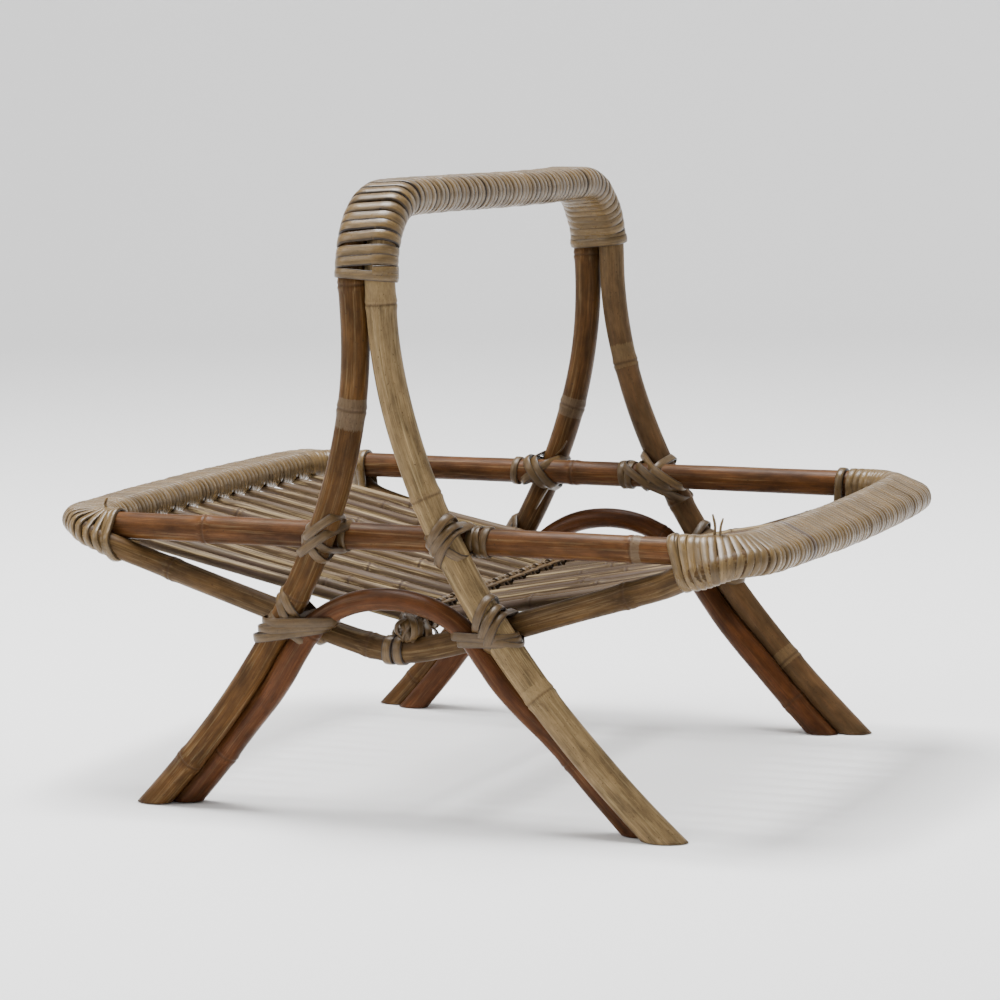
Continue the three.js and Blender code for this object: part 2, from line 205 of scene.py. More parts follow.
def arch_line(side_name):
    side = SIDES[side_name]
    top_z = ARCH_TOP_Z[side_name]
    halves = []
    for pole in POLES.values():
        spacing = pole["radius"] + ARCH_R + GAP + 0.4
        half = []
        for z in range(-12, ARCH_LEAVE_Z + 1, 14):
            y = ARCH_Y - ARCH_IN * (1 - smoothstep(z, 45, 98))
            apart = math.sqrt(spacing**2 - (leg_y(z) - y) ** 2)
            x = leg_x(pole, z) - apart * math.hypot(1, leg_slope(pole, z))
            half.append((pole["hand"] * x, side * y, z))
        last_x, _, last_z = half[-1]
        for across, up in ((0.76, 0.53), (0.42, 0.88)):
            half.append((last_x * across, side * ARCH_Y, last_z + (top_z - last_z) * up))
        halves.append(half)
    peak = [(0, side * ARCH_Y, top_z)]
    return leaned(smooth_curve(halves[0] + peak + halves[1][::-1], 8))


def rim_end_x(y):
    return CORNER_X + CORNER_R + END_BOW * (1 - (y / CORNER_Y) ** 2)


def corner_point(turn, out, z):
    angle = turn * math.pi / 2
    reach = CORNER_R + out
    return (CORNER_X + reach * math.sin(angle), CORNER_Y + reach * math.cos(angle), z)


END_YS = (0.2, 45, 90, 118)
CORNER_TURNS = (0.8, 0.5, 0.25, 0)


def reached(points, hand_name):
    """The rack isn't quite even: its right end reaches a little further."""
    points = np.array(points, float)
    points[:, 0] += [END_REACH[hand_name] * smoothstep(x, 90, CORNER_X) for x in points[:, 0]]
    return points


def rim_quarter(hand_name):
    points = [(rim_end_x(y), y, RIM_Z) for y in END_YS]
    points += [corner_point(turn, 0, RIM_Z) for turn in CORNER_TURNS]
    return reached(points + [(150, RIM_Y, RIM_Z), (90, RIM_Y, RIM_Z)], hand_name)


def rim_line():
    """Once round the rim, from the middle of the right end and back to it."""
    q = rim_quarter("right")
    far = np.array([(0, RIM_Y, RIM_Z)])
    left = mirrored(rim_quarter("left")[1:], -1, 1)
    parts = [q, far, left[::-1], mirrored(left, 1, -1), mirrored(far, 1, -1), mirrored(q, 1, -1)[::-1]]
    return smooth_curve(np.vstack(parts))


RAIL_CORNER_Z = RIM_Z - RAIL_TOUCH + 1
RAIL_SLOPE = math.sqrt((RAIL_CORNER_Z - RAIL_LOW_Z + RAIL_TIP) ** 2 - RAIL_TIP**2) / CORNER_X


def rail_z(x):
    return RAIL_LOW_Z + math.hypot(RAIL_SLOPE * x, RAIL_TIP) - RAIL_TIP


def rail_half(hand_name):
    """Half a lower rail: up its V, then rolling round the corner to lie beside the rim's end."""
    apart = RIM_R + END_RAIL_R[hand_name] + GAP
    end = END_TURN[hand_name]
    points = [(x, RAIL_Y, rail_z(x)) for x in (12, 30, 60, 100, 140, 168)]
    for turn in CORNER_TURNS[::-1]:
        roll = -math.pi / 2 + (end + math.pi / 2) * smoothstep(turn, -0.45, 0.6)
        points.append(corner_point(turn, apart * math.cos(roll), RIM_Z + apart * math.sin(roll)))
    for y in END_YS[::-1]:
        points.append((rim_end_x(y) + apart * math.cos(end), y, RIM_Z + apart * math.sin(end)))
    return reached(points, hand_name)


def rail_line(side_name):
    side = SIDES[side_name]
    bottom = np.array([(0, side * RAIL_Y, RAIL_LOW_Z)])
    left = mirrored(rail_half("left"), -1, side)[::-1]
    return smooth_curve(np.vstack([left, bottom, mirrored(rail_half("right"), 1, side)]))


def slat_y(index):
    return (index - (SLATS_PER_SIDE - 1) / 2) * SLAT_PITCH


def slat_line(hand, y):
    rim_x = rim_end_x(y)
    from_x = hand * (BAR_R + 0.6)
    if hand < 0:  # tucked in at the rim's inner side
        return np.array([(BAR_X + from_x, y, SLAT_BAR_Z), (hand * (rim_x - 5.5), y, RIM_Z - 8.6)])
    slope = (RIM_Z - SLAT_END_DROP - SLAT_BAR_Z) / (rim_x - abs(from_x))
    end = (hand * (rim_x + 4), y, RIM_Z - SLAT_END_DROP + slope * 4)
    return np.array([(BAR_X + from_x, y, SLAT_BAR_Z), end])


# ----------------------------------------------------------------------------------- line helpers
def lengths(line):
    return np.concatenate([[0.0], np.cumsum(np.linalg.norm(np.diff(line, axis=0), axis=1))])


def between(wanted, s, rows):
    """Rows of values, such as places or directions, read at distances between their stations s."""
    return np.stack([np.interp(wanted, s, rows[:, k]) for k in range(rows.shape[1])], axis=-1)


def tangents(line):
    return unit_rows(np.gradient(line, axis=0))


def carried_normals(line, first):
    """A normal at each point, carried along the line without twisting."""
    normal = np.array(first, float)
    out = []
    for tangent in tangents(line):
        normal = unit(normal - tangent * normal.dot(tangent))
        out.append(normal)
    return np.array(out)


def length_where(line, axis, value, after=0.0):
    """Distance along the line at which a coordinate is nearest to a value."""
    s = lengths(line)
    gaps = np.abs(line[:, axis] - value) + (s < after) * 1e6
    return s[int(np.argmin(gaps))]


def straight(point, direction, radius):
    """A straight stretch of rod, for a strip to go round."""
    return {"point": np.array(point, float), "direction": direction, "radius": radius}


def rod_at(line, radius, near):
    """The straight stretch that fits a rod where it passes nearest to a point."""
    i = int(np.argmin(np.linalg.norm(line - np.array(near), axis=1)))
    return straight(line[i], tangents(line)[i], radius)


# ------------------------------------------------------------------------------------ properties
def linear(hex_colour):
    """An sRGB hex value as linear red, green, blue."""
    out = []
    for i in (1, 3, 5):
        c = int(hex_colour[i : i + 2], 16) / 255
        out.append(c / 12.92 if c <= 0.04045 else ((c + 0.055) / 1.055) ** 2.4)
    return tuple(out)


def colour_property(name, description, hex_colour):
    return bpy.props.FloatVectorProperty(
        name=name, description=description, subtype="COLOR", min=0, max=1, default=linear(hex_colour)
    )


def size_property(name, description, millimetres):
    return bpy.props.FloatProperty(
        name=name, description=description, unit="LENGTH", precision=4, default=millimetres * MM
    )


class RackSizes(bpy.types.PropertyGroup):
    strip_width: size_property("Strip width", "Width of the cane strip wound on the handle", 5.3)
    end_strip_width: size_property("End strip width", "Width of the strip wound on the ends", 4.9)
    strip_thickness: size_property("Strip thickness", "Thickness of the wound cane strip", 1.5)
    node_swell: size_property("Node swelling", "How far a cane's node ring stands out", 0.7)


class RackColours(bpy.types.PropertyGroup):
    pole_dark: colour_property("Left pole", "Brown cane skin of the left pole", "#523719")
    pole_light: colour_property("Right pole", "Straw-brown cane skin of the right pole", "#7a6546")
    rim: colour_property("Rim", "Orange-brown smoked cane of the rim", "#53341a")
    rail: colour_property("Lower rails", "Duller brown of the lower rails", "#4e3920")
    arch: colour_property("Arch rods", "Red-brown smoked cane of the arch rods", "#502f18")
    slat: colour_property("Slats", "Grey-olive weathered slats", "#574228")
    binding: colour_property("Binding strip", "Beige split cane of the bindings", "#685436")
    lashing: colour_property("Lashing strip", "Grey-brown split cane of the crossings", "#574328")


# ------------------------------------------------------------------------------------- materials
def add_node(tree, kind, settings=None, **links):
    """Adds a node; settings go to its properties, and links to its inputs by name or number."""
    node = tree.nodes.new(kind)
    for key, value in (settings or {}).items():
        setattr(node, key, value)
    for key, value in links.items():
        key = key.replace("_", " ")
        socket = node.inputs[int(key[1:])] if key[0] == "i" and key[1:].isdigit() else node.inputs[key]
        if isinstance(value, bpy.types.NodeSocket):
            tree.links.new(value, socket)
        else:
            socket.default_value = value
    return node


def new_material(name):
    material = bpy.data.materials.new(name)
    material.use_nodes = True
    tree = material.node_tree
    tree.nodes.clear()
    shader = add_node(tree, "ShaderNodeBsdfPrincipled")
    output = add_node(tree, "ShaderNodeOutputMaterial")
    tree.links.new(shader.outputs["BSDF"], output.inputs["Surface"])
    return material, tree, shader


def attribute(tree, name):
    return add_node(tree, "ShaderNodeAttribute", {"attribute_name": name})


def stretched_noise(tree, coordinates, across_mm, along_mm, detail=4.0, rough=0.6):
    """Noise whose grains are across_mm wide and along_mm long on the straightened cane."""
    scale = (1 / across_mm, 1 / across_mm, 1 / along_mm)
    mapping = add_node(tree, "ShaderNodeMapping", None, Vector=coordinates, Scale=scale)
    place = mapping.outputs[0]
    noise = add_node(
        tree, "ShaderNodeTexNoise", None, Vector=place, Scale=1.0, Detail=detail, Roughness=rough
    )
    return noise.outputs["Fac"]


def remap(tree, value, low, high, to_low=0.0, to_high=1.0):
    node = add_node(tree, "ShaderNodeMapRange", None, i0=value, i1=low, i2=high, i3=to_low, i4=to_high)
    return node.outputs[0]


def maths(tree, operation, a, b=0.0):
    return add_node(tree, "ShaderNodeMath", {"operation": operation}, i0=a, i1=b).outputs[0]


def mix(tree, factor, a, b):
    """Mixes two colours."""
    node = add_node(tree, "ShaderNodeMix", {"data_type": "RGBA"}, i0=factor)
    for socket, value in ((node.inputs[6], a), (node.inputs[7], b)):
        if isinstance(value, bpy.types.NodeSocket):
            tree.links.new(value, socket)
        else:
            socket.default_value = (*value[:3], 1.0)
    return node.outputs[2]


def tint(colour, factor):
    """A colour made lighter or darker."""
    return tuple(min(1.0, c * factor) for c in colour[:3])


def dress(tree, shader, base, roughness, specular, grain, grain_depth, grain_strength):
    """Gives the shader its colour, its gloss and a fine relief along the grain."""
    tree.links.new(base, shader.inputs["Base Color"])
    tree.links.new(roughness, shader.inputs["Roughness"])
    shader.inputs["IOR"].default_value = CANE_IOR
    shader.inputs["Specular IOR Level"].default_value = specular
    bump = add_node(
        tree, "ShaderNodeBump", None, Strength=grain_strength, Distance=grain_depth * MM, Height=grain
    )
    tree.links.new(bump.outputs[0], shader.inputs["Normal"])


CANE_IOR = 1.5
DARK_NODE = linear("#3b2a1c")
SPECK = linear("#33241a")
STRAW = linear("#c2aa7c")
GREY_SKIN = linear("#74644e")
DARK_SKIN = linear("#43352a")
PALE_SKIN = linear("#a3895e")
# Painted shade: the dark colour laid along a strip's edges, standing in for the shadow in the gaps between
# turns.
GAP_SHADE_COLOUR = linear("#2a211a")
PLUM_STAIN = linear("#4a3a30")
GREY_STRIP = linear("#6a5a3a")
UMBER = linear("#46331b")
SMOKED = linear("#4c321d")
DARK_SLAT = linear("#5c4a34")


def cane_rod_material(name, colour, roughness, straw_amount, bare_skin=GREY_SKIN):
    """Bent rattan pole with its skin on, smoked and waxed: close lengthwise fibres under a satin
    sheen, brown mottling, pale straw streaks where the skin is worn, dark specks, dark node rings."""
    material, tree, shader = new_material(name)
    cane = attribute(tree, "cane").outputs["Vector"]
    ring = attribute(tree, "ring").outputs["Fac"]
    patch = attribute(tree, "patch").outputs["Fac"]
    smoke = attribute(tree, "tone").outputs["Fac"]
    fibres = stretched_noise(tree, cane, 0.8, 30.0, 6.0, 0.7)
    mottle = stretched_noise(tree, cane, 8.0, 26.0, 5.0, 0.62)
    streaks = stretched_noise(tree, cane, 2.0, 60.0, 5.0, 0.65)
    specks = stretched_noise(tree, cane, 1.0, 1.7, 3.0, 0.6)
    darkness = remap(tree, mottle, 0.34, 0.66)
    base = mix(tree, darkness, tint(colour, 0.5), tint(colour, 1.4))
    straw = maths(tree, "MULTIPLY", remap(tree, streaks, 0.52, 0.72), straw_amount)
    base = mix(tree, straw, base, STRAW)
    base = mix(tree, smoke, base, mix(tree, darkness, tint(SMOKED, 0.6), tint(SMOKED, 1.4)))
    base = mix(tree, remap(tree, fibres, 0.4, 0.6, 0.5, 0.0), base, tint(colour, 0.36))
    peel = stretched_noise(tree, cane, 1.1, 3.5, 4.0, 0.7)
    bare = remap(tree, maths(tree, "ADD", patch, remap(tree, peel, 0.2, 0.8, -0.35, 0.35)), 0.45, 0.6)
    bare = maths(tree, "MULTIPLY", bare, remap(tree, smoke, 0.0, 1.0, 0.75, 0.2))
    base = mix(tree, bare, base, mix(tree, peel, DARK_SKIN, bare_skin))
    base = mix(tree, remap(tree, specks, 0.64, 0.7, 0.0, 0.8), base, SPECK)
    base = mix(tree, remap(tree, ring, 0.1, 0.9, 0.0, 0.5), base, DARK_NODE)
    worn = remap(tree, mottle, 0.3, 0.7, roughness + 0.1, roughness - 0.06)
    dress(tree, shader, base, worn, 0.1, mix(tree, 0.5, fibres, streaks), 0.25, 0.55)
    return material


def cane_strip_material(name, colour, half_width_mm, roughness=0.27):
    """Split cane strip, peeled and wound damp: each turn its own beige or khaki, fine lengthwise
    fibres, a faint skin gloss on the crown and painted shade along both edges, where the gaps between turns
    lie."""
    material, tree, shader = new_material(name)
    cane = attribute(tree, "cane").outputs["Vector"]
    tone = attribute(tree, "tone").outputs["Fac"]
    across = add_node(tree, "ShaderNodeSeparateXYZ", None, Vector=cane).outputs["X"]
    edge = maths(tree, "DIVIDE", maths(tree, "ABSOLUTE", across), half_width_mm)
    fibres = stretched_noise(tree, cane, 0.7, 24.0, 6.0, 0.7)
    blotch = stretched_noise(tree, cane, 4.5, 12.0, 5.0, 0.65)
    specks = stretched_noise(tree, cane, 1.1, 1.5, 3.0, 0.6)
    hue = maths(tree, "FRACT", maths(tree, "MULTIPLY", tone, 7.3))
    own = mix(tree, 0.45, colour, mix(tree, hue, colour, GREY_STRIP))
    dark, pale = mix(tree, 0.72, own, UMBER), mix(tree, 0.7, own, tint(colour, 1.75))
    base = mix(tree, remap(tree, tone, 0.0, 1.0), dark, pale)
    base = mix(tree, remap(tree, blotch, 0.45, 0.68, 0.0, 0.6), base, tint(colour, 0.45))
    base = mix(tree, remap(tree, specks, 0.64, 0.7, 0.0, 0.75), base, SPECK)
    base = mix(tree, remap(tree, tone, 0.06, 0.0, 0.0, 0.9), base, PLUM_STAIN)
    base = mix(tree, remap(tree, fibres, 0.4, 0.6, 0.5, 0.0), base, tint(colour, 0.35))
    # Painted shade: both edges of each turn are darkened, more on some turns than others, for the shadow in
    # the gaps between turns.
    gap_shade_mask = maths(tree, "MULTIPLY", remap(tree, edge, 0.8, 1.0), remap(tree, hue, 0.0, 0.8, 0.35, 1.0))
    base = mix(tree, gap_shade_mask, base, GAP_SHADE_COLOUR)
    worn = remap(tree, blotch, 0.3, 0.7, roughness - 0.06, roughness + 0.14)
    dress(tree, shader, base, worn, 0.32, fibres, 0.2, 0.6)
    return material


def slat_material(name, colour):
    """Thin rattan core slats, unvarnished and weathered: grey-olive to plum-brown from slat to slat,
    with pale streaks of skin along them and dark node rings."""
    material, tree, shader = new_material(name)
    cane = attribute(tree, "cane").outputs["Vector"]
    tone = attribute(tree, "tone").outputs["Fac"]
    ring = attribute(tree, "ring").outputs["Fac"]
    fibres = stretched_noise(tree, cane, 0.8, 40.0, 5.0, 0.65)
    bands = stretched_noise(tree, cane, 2.6, 120.0, 4.0, 0.65)
    mottle = stretched_noise(tree, cane, 5.0, 28.0, 3.0, 0.6)
    base = mix(tree, remap(tree, tone, 0.1, 1.0), tint(DARK_SLAT, 0.7), colour)
    base = mix(tree, remap(tree, mottle, 0.4, 0.7, 0.0, 0.6), base, tint(colour, 0.5))
    base = mix(tree, remap(tree, bands, 0.54, 0.62, 0.0, 0.5), base, STRAW)
    base = mix(tree, remap(tree, bands, 0.47, 0.4, 0.0, 0.85), base, PLUM_STAIN)
    base = mix(tree, remap(tree, fibres, 0.38, 0.62, 0.4, 0.0), base, tint(colour, 0.35))
    base = mix(tree, remap(tree, ring, 0.1, 0.9, 0.0, 0.85), base, DARK_NODE)
    dress(tree, shader, base, remap(tree, mottle, 0.3, 0.7, 0.5, 0.68), 0.2, fibres, 0.2, 0.6)
    return material


def material_named(name):
    """Makes each finish once, from the panel's colours."""
    if name in bpy.data.materials:
        return bpy.data.materials[name]
    c = bpy.context.scene.rack_colours
    s = bpy.context.scene.rack_sizes
    makers = {
        "smoked_cane_left_pole": lambda n: cane_rod_material(n, c.pole_dark, 0.42, 0.25),
        "straw_cane_right_pole": lambda n: cane_rod_material(n, c.pole_light, 0.44, 0.45, PALE_SKIN),
        "smoked_cane_rim": lambda n: cane_rod_material(n, c.rim, 0.4, 0.18),
        "smoked_cane_rail": lambda n: cane_rod_material(n, c.rail, 0.46, 0.22),
        "dark_smoked_cane_arch": lambda n: cane_rod_material(n, c.arch, 0.36, 0.08),
        "weathered_cane_slat": lambda n: slat_material(n, c.slat),
        "split_cane_binding": lambda n: cane_strip_material(n, c.binding, s.strip_width / MM / 2),
        "split_cane_lashing": lambda n: cane_strip_material(n, c.lashing, LASHING_SHADE_EDGE, 0.36),
    }
    return makers[name](name)


# ----------------------------------------------------------------------------------- mesh makers
def deselect_all():
    for o in bpy.context.selected_objects:
        o.select_set(False)


def pick(piece):
    """Makes a piece the only one selected, and active."""
    deselect_all()
    piece.select_set(True)
    bpy.context.view_layer.objects.active = piece


def edit_whole(piece, step=None):
    """Does a step on all of a piece in edit mode, and then turns its faces outward."""
    pick(piece)
    bpy.ops.object.mode_set(mode="EDIT")
    bpy.ops.mesh.select_all(action="SELECT")
    if step:
        step()
    bpy.ops.mesh.normals_make_consistent(inside=False)
    bpy.ops.object.mode_set(mode="OBJECT")


def set_attributes(mesh, cane, **floats):
    """Stores the straightened-cane coordinates and the other per-point values of a piece."""
    layer = mesh.attributes.new("cane", "FLOAT_VECTOR", "POINT")
    layer.data.foreach_set("vector", np.asarray(cane, np.float32).ravel())
    for name, values in floats.items():
        layer = mesh.attributes.new(name, "FLOAT", "POINT")
        layer.data.foreach_set("value", np.asarray(values, np.float32))


def finish_piece(piece, node, material):
    piece.data.materials.clear()
    piece.data.materials.append(material_named(material))
    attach(piece, "root")
    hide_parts(node)


def stations_along(total, step, nodes, fine=0.7, reach=9.0):
    """Distances for the rings of a rod: even steps, and fine ones round each node."""
    even = list(np.linspace(0, total, max(2, round(total / step) + 1)))
    for centre in nodes:
        even = [d for d in even if abs(d - centre) > reach]
        even += list(np.arange(centre - reach, centre + reach + fine / 2, fine))
    return np.array(sorted(d for d in even if 0 <= d <= total))


def node_profile(distance, swell):
    """A cane node seen from the side: a low swelling with a narrow scar round it."""
    bulge = swell * np.exp(-((distance / 3.6) ** 2))
    scar = 0.75 * swell * np.exp(-((distance / 0.8) ** 2))
    return bulge - scar


def rod_path(name, points, radii, sides):
    """A path with a round bevel, its radius set point by point, made a mesh."""
    deselect_all()
    bpy.ops.curve.primitive_nurbs_path_add(location=(0, 0, 0))
    rod = bpy.context.object
    rod.name = name
    curve = rod.data
    curve.splines.clear()
    spline = curve.splines.new("POLY")
    spline.points.add(len(points) - 1)
    for point, place, radius in zip(spline.points, points, radii):
        point.co = (*(place * MM), 1)
        point.radius = radius
    curve.dimensions = "3D"
    curve.bevel_depth = MM
    curve.bevel_resolution = (sides - 4) // 2
    curve.use_fill_caps = True
    curve.twist_mode = "MINIMUM"
    bpy.ops.object.convert(target="MESH")
    rod = bpy.context.object
    edit_whole(rod, lambda: bpy.ops.mesh.remove_doubles(threshold=1e-6))
    return rod


def bent_rod(name, line, radius_at, nodes, sides, step, wobble, seed, tone_at=None):
    """A cane rod with its node rings, its uneven skin and its straightened-cane coordinates."""
    total = lengths(line)[-1]
    s = stations_along(total, step, nodes)
    points = between(s, lengths(line), line)
    swell = bpy.context.scene.rack_sizes.node_swell / MM
    radii = np.array([radius_at(d / total) for d in s])
    for centre in nodes:
        radii = radii + node_profile(s - centre, swell)
    rng = random.Random(seed)
    phases = [rng.uniform(0, 2 * math.pi) for _ in range(4)]
    radii = radii * (1 + 0.012 * np.sin(s / 31 + phases[0]) + 0.01 * np.sin(s / 12.5 + phases[1]))
    rod = rod_path(name, points, radii, sides)
    t = tangents(points)
    normals = carried_normals(points, Z_AXIS if abs(t[0][2]) < 0.8 else X_AXIS)
    sides_b = np.cross(t, normals)
    co = vertex_array(rod) / MM
    nearest = nearest_indices(co, points)
    offset = co - points[nearest]
    a = np.einsum("ij,ij->i", offset, normals[nearest])
    b = np.einsum("ij,ij->i", offset, sides_b[nearest])
    along = s[nearest] + np.einsum("ij,ij->i", offset, t[nearest])
    # The rod isn't truly round: its skin has long shallow flats and swellings.
    angle = np.arctan2(b, a)
    dent = wobble * 0.35 * np.sin(2 * angle + along / 60 + phases[2])
    dent = dent + wobble * 0.25 * np.sin(3 * angle - along / 43 + phases[3])
    outward = normals[nearest] * np.cos(angle)[:, None] + sides_b[nearest] * np.sin(angle)[:, None]
    on_side = np.hypot(a, b) > 1
    co = co + outward * (dent * on_side)[:, None]
    rod.data.vertices.foreach_set("co", (co * MM).ravel())
    ring = np.zeros(len(co))
    for centre in nodes:
        ring = np.maximum(ring, np.exp(-(((along - centre) / 0.9) ** 2)))
    shift = rng.uniform(0, 500)
    cane = np.stack([a + shift, b + shift, along + shift], axis=1)
    tone = tone_at(along / total) if tone_at else np.full(len(co), rng.random())
    set_attributes(rod.data, cane, ring=ring, patch=np.zeros(len(co)), tone=tone)
    smooth(rod)
    return rod, along


def smooth(piece):
    pick(piece)
    bpy.ops.object.shade_smooth_by_angle(angle=math.radians(50))


def vertex_array(piece):
    co = np.zeros(len(piece.data.vertices) * 3)
    piece.data.vertices.foreach_get("co", co)
    return co.reshape(-1, 3)


def nearest_indices(co, points):
    out = np.zeros(len(co), int)
    for start in range(0, len(co), 4000):
        block = co[start : start + 4000]
        gaps = ((block[:, None, :] - points[None, :, :]) ** 2).sum(axis=2)
        out[start : start + 4000] = gaps.argmin(axis=1)
    return out


def set_patch(rod, along, spans):
    """Marks stretches of a rod where the skin is grey or bare."""
    values = np.zeros(len(along))
    for low, high in spans:
        inside = 1 / (1 + np.exp(-(along - low) / 0.5)) * 1 / (1 + np.exp((along - high) / 0.5))
        values = np.maximum(values, inside)
    rod.data.attributes["patch"].data.foreach_set("value", values.astype(np.float32))


def saw_at_floor(piece):
    """Cuts a piece off level with the floor."""
    edit_whole(
        piece,
        lambda: bpy.ops.mesh.bisect(
            plane_co=(0, 0, 0), plane_no=(0, 0, 1), use_fill=True, clear_inner=True
        ),
    )


def mesh_piece(name, verts_mm, faces):
    mesh = bpy.data.meshes.new(name)
    mesh.from_pydata([tuple(v) for v in np.asarray(verts_mm) * MM], [], faces)
    piece = bpy.data.objects.new(name, mesh)
    bpy.context.scene.collection.objects.link(piece)
    return piece


# A strip's cross-section, as shares of its width and thickness: flat below, crowned above.
STRIP_SECTION = (
    (-0.5, 0.0), (-0.5, 0.6), (-0.42, 0.88), (0.0, 1.0), (0.42, 0.88), (0.5, 0.6), (0.5, 0.0),
)
TURN_STEPS = 40  # points of a winding in one turn
# How pale a turn may be, from 0 for brown to 1 for straw; most turns are in between.
TURN_TONES = ((0.45, 0.65), (0.5, 0.75), (0.55, 0.8), (0.6, 0.85), (0.25, 0.45), (0.8, 1.0))


class StripWork:
    """Collects lengths of cane strip, each with its own tone, into one mesh."""

    def __init__(self, seed):
        self.rng = random.Random(seed)
        self.verts = []
        self.faces = []
        self.cane = []
        self.tone = []

    def lay(self, points, outward, across, width, thickness, tones, closed=False, taper=False):
        """One strip along points; outward is its face's normal, across its width's direction."""
        count = len(points)
        first = len(self.verts)
        size = len(STRIP_SECTION)
        along = lengths(points) + self.rng.uniform(0, 900)
        shift = self.rng.uniform(0, 60)
        for i in range(count):
            share = 0.35 + 0.65 * min(1.0, (count - 1 - i) / 3) if taper else 1.0
            for u, h in STRIP_SECTION:
                aside, up = across[i] * (u * width * share), outward[i] * (h * thickness)
                self.verts.append(points[i] + aside + up)
                self.cane.append((u * width, shift + h * thickness, along[i]))
                self.tone.append(tones[i])
        for i in range(count if closed else count - 1):
            here, there = first + i * size, first + (i + 1) % count * size
            for k in range(size):
                m = (k + 1) % size
                self.faces.append((here + k, here + m, there + m, there + k))
        if not closed:
            last = first + (count - 1) * size
            self.faces.append(tuple(first + k for k in reversed(range(size))))
            self.faces.append(tuple(last + k for k in range(size)))

    def piece(self, name):
        piece = mesh_piece(name, self.verts, self.faces)
        set_attributes(piece.data, self.cane, tone=self.tone)
        edit_whole(piece)
        smooth(piece)
        return piece


def convex_outline(points):
    """The corners of the convex hull of some points in a plane, anticlockwise."""
    ordered = sorted(set((round(float(x), 4), round(float(y), 4)) for x, y in points))

    def half(sequence):
        chain = []
        for p in sequence:
            while len(chain) > 1:
                ax, ay = chain[-2]
                bx, by = chain[-1]
                if (bx - ax) * (p[1] - ay) - (by - ay) * (p[0] - ax) > 0:
                    break
                chain.pop()
            chain.append(p)
        return chain[:-1]

    return np.array(half(ordered) + half(ordered[::-1]))


def even_outline(points, count, start=(0.0, 1.0)):
    """A hull walked in even steps, from the corner that lies furthest towards start."""
    hull = convex_outline(points)
    first = int(np.argmax(hull @ np.array(start)))
    loop = np.vstack([np.roll(hull, -first, axis=0), hull[first : first + 1]])
    s = lengths(loop)
    even = between(np.linspace(0, s[-1], count, endpoint=False), s, loop)
    along = unit_rows(np.roll(even, -1, axis=0) - np.roll(even, 1, axis=0))
    normal = np.stack([along[:, 1], -along[:, 0]], axis=1)
    return even, normal


def circle_points(x, y, radius, count=40):
    angles = np.linspace(0, 2 * math.pi, count, endpoint=False)
    return np.stack([x + radius * np.cos(angles), y + radius * np.sin(angles)], axis=1)


def strap(work, centre, normal, rods, width, thickness, lift, tone, count=44, stretch=1.15):
    """One closed turn of strip round several rods, in the plane through centre with that normal.
    Where it runs nearly along a rod it reaches only stretch radii either way, and dives under."""
    normal = unit(normal)
    first = unit(np.cross(normal, Z_AXIS if abs(normal[2]) < 0.9 else X_AXIS))
    second = np.cross(normal, first)
    flat = []
    for rod in rods:
        direction, middle, radius = rod["direction"], rod["point"], rod["radius"]
        a = unit(np.cross(direction, normal if abs(direction.dot(normal)) < 0.99 else first))
        b = np.cross(direction, a)
        meeting = direction.dot(normal)
        meeting = math.copysign(max(abs(meeting), 0.2), meeting)
        axis_shift = (centre - middle).dot(normal) / meeting
        for angle in np.linspace(0, 2 * math.pi, 36, endpoint=False):
            skin = middle + (radius + lift) * (a * math.cos(angle) + b * math.sin(angle))
            slide = (middle - skin).dot(normal) / meeting
            slide = min(max(slide, -stretch * radius), stretch * radius)
            hit = skin + direction * (axis_shift + slide) - centre
            flat.append((hit.dot(first), hit.dot(second)))
    even, out = even_outline(flat, count)
    points = centre + even[:, :1] * first + even[:, 1:] * second
    outward = out[:, :1] * first + out[:, 1:] * second
    across = np.repeat(normal[None, :], count, axis=0)
    work.lay(points, outward, across, width, thickness, [tone] * count, closed=True)


def winding(
    work, line, sides_a, sides_b, outline_at, span, pitch, width, thickness,
    spread=0.0, bend_at=None, stained=None,
):
    """Strip wound round a line: one long helix whose section may change along the way."""
    s_line = lengths(line)
    t_line = tangents(line)
    # Turns are spaced evenly along the outside of a bend, where they spread the most.
    outer = lengths(line + sides_a * spread)
    outer_start, outer_end = np.interp(span, s_line, outer)
    total_turns = int((outer_end - outer_start) / pitch)
    pitch = (outer_end - outer_start) / total_turns
    points, outward, across, tones = [], [], [], []
    rng = work.rng
    turn_tone = [rng.uniform(*rng.choice(TURN_TONES)) for _ in range(total_turns + 2)]
    if stained is not None:
        turn_tone[int((np.interp(stained, s_line, outer) - outer_start) / pitch)] = 0.0
    turn_shift = [rng.gauss(0, 0.1 * pitch) for _ in range(total_turns + 2)]
    turn_lift = [rng.uniform(0, 0.5) for _ in range(total_turns + 2)]
    for i in range(total_turns * TURN_STEPS + 1):
        whole, k = divmod(i, TURN_STEPS)
        part = k / TURN_STEPS
        shift = turn_shift[whole] * (1 - part) + turn_shift[whole + 1] * part
        s = float(np.interp(outer_start + pitch * (whole + part) + shift, outer, s_line))
        even, normal = outline_at(s)
        if bend_at:
            s = s + bend_at(s, even[k])
        s = min(max(s, s_line[0]), s_line[-1])
        place, a, b, t = (between(s, s_line, rows) for rows in (line, sides_a, sides_b, t_line))
        lift = turn_lift[whole] * (1 - part) + turn_lift[whole + 1] * part
        out = a * normal[k][0] + b * normal[k][1]
        points.append(place + a * even[k][0] + b * even[k][1] + out * lift)
        outward.append(out)
        across.append(t)
        # The tone changes where a turn passes out of sight, at the outline's start.
        tones.append(turn_tone[whole])
    work.lay(np.array(points), np.array(outward), np.array(across), width, thickness, tones)


# --------------------------------------------------------------------------------- rods by name
def tapered(radius, places, shares):
    """An amount that changes along a rod, such as its thickness: canes taper from butt to tip."""
    return lambda share: radius * np.interp(share, places, shares)


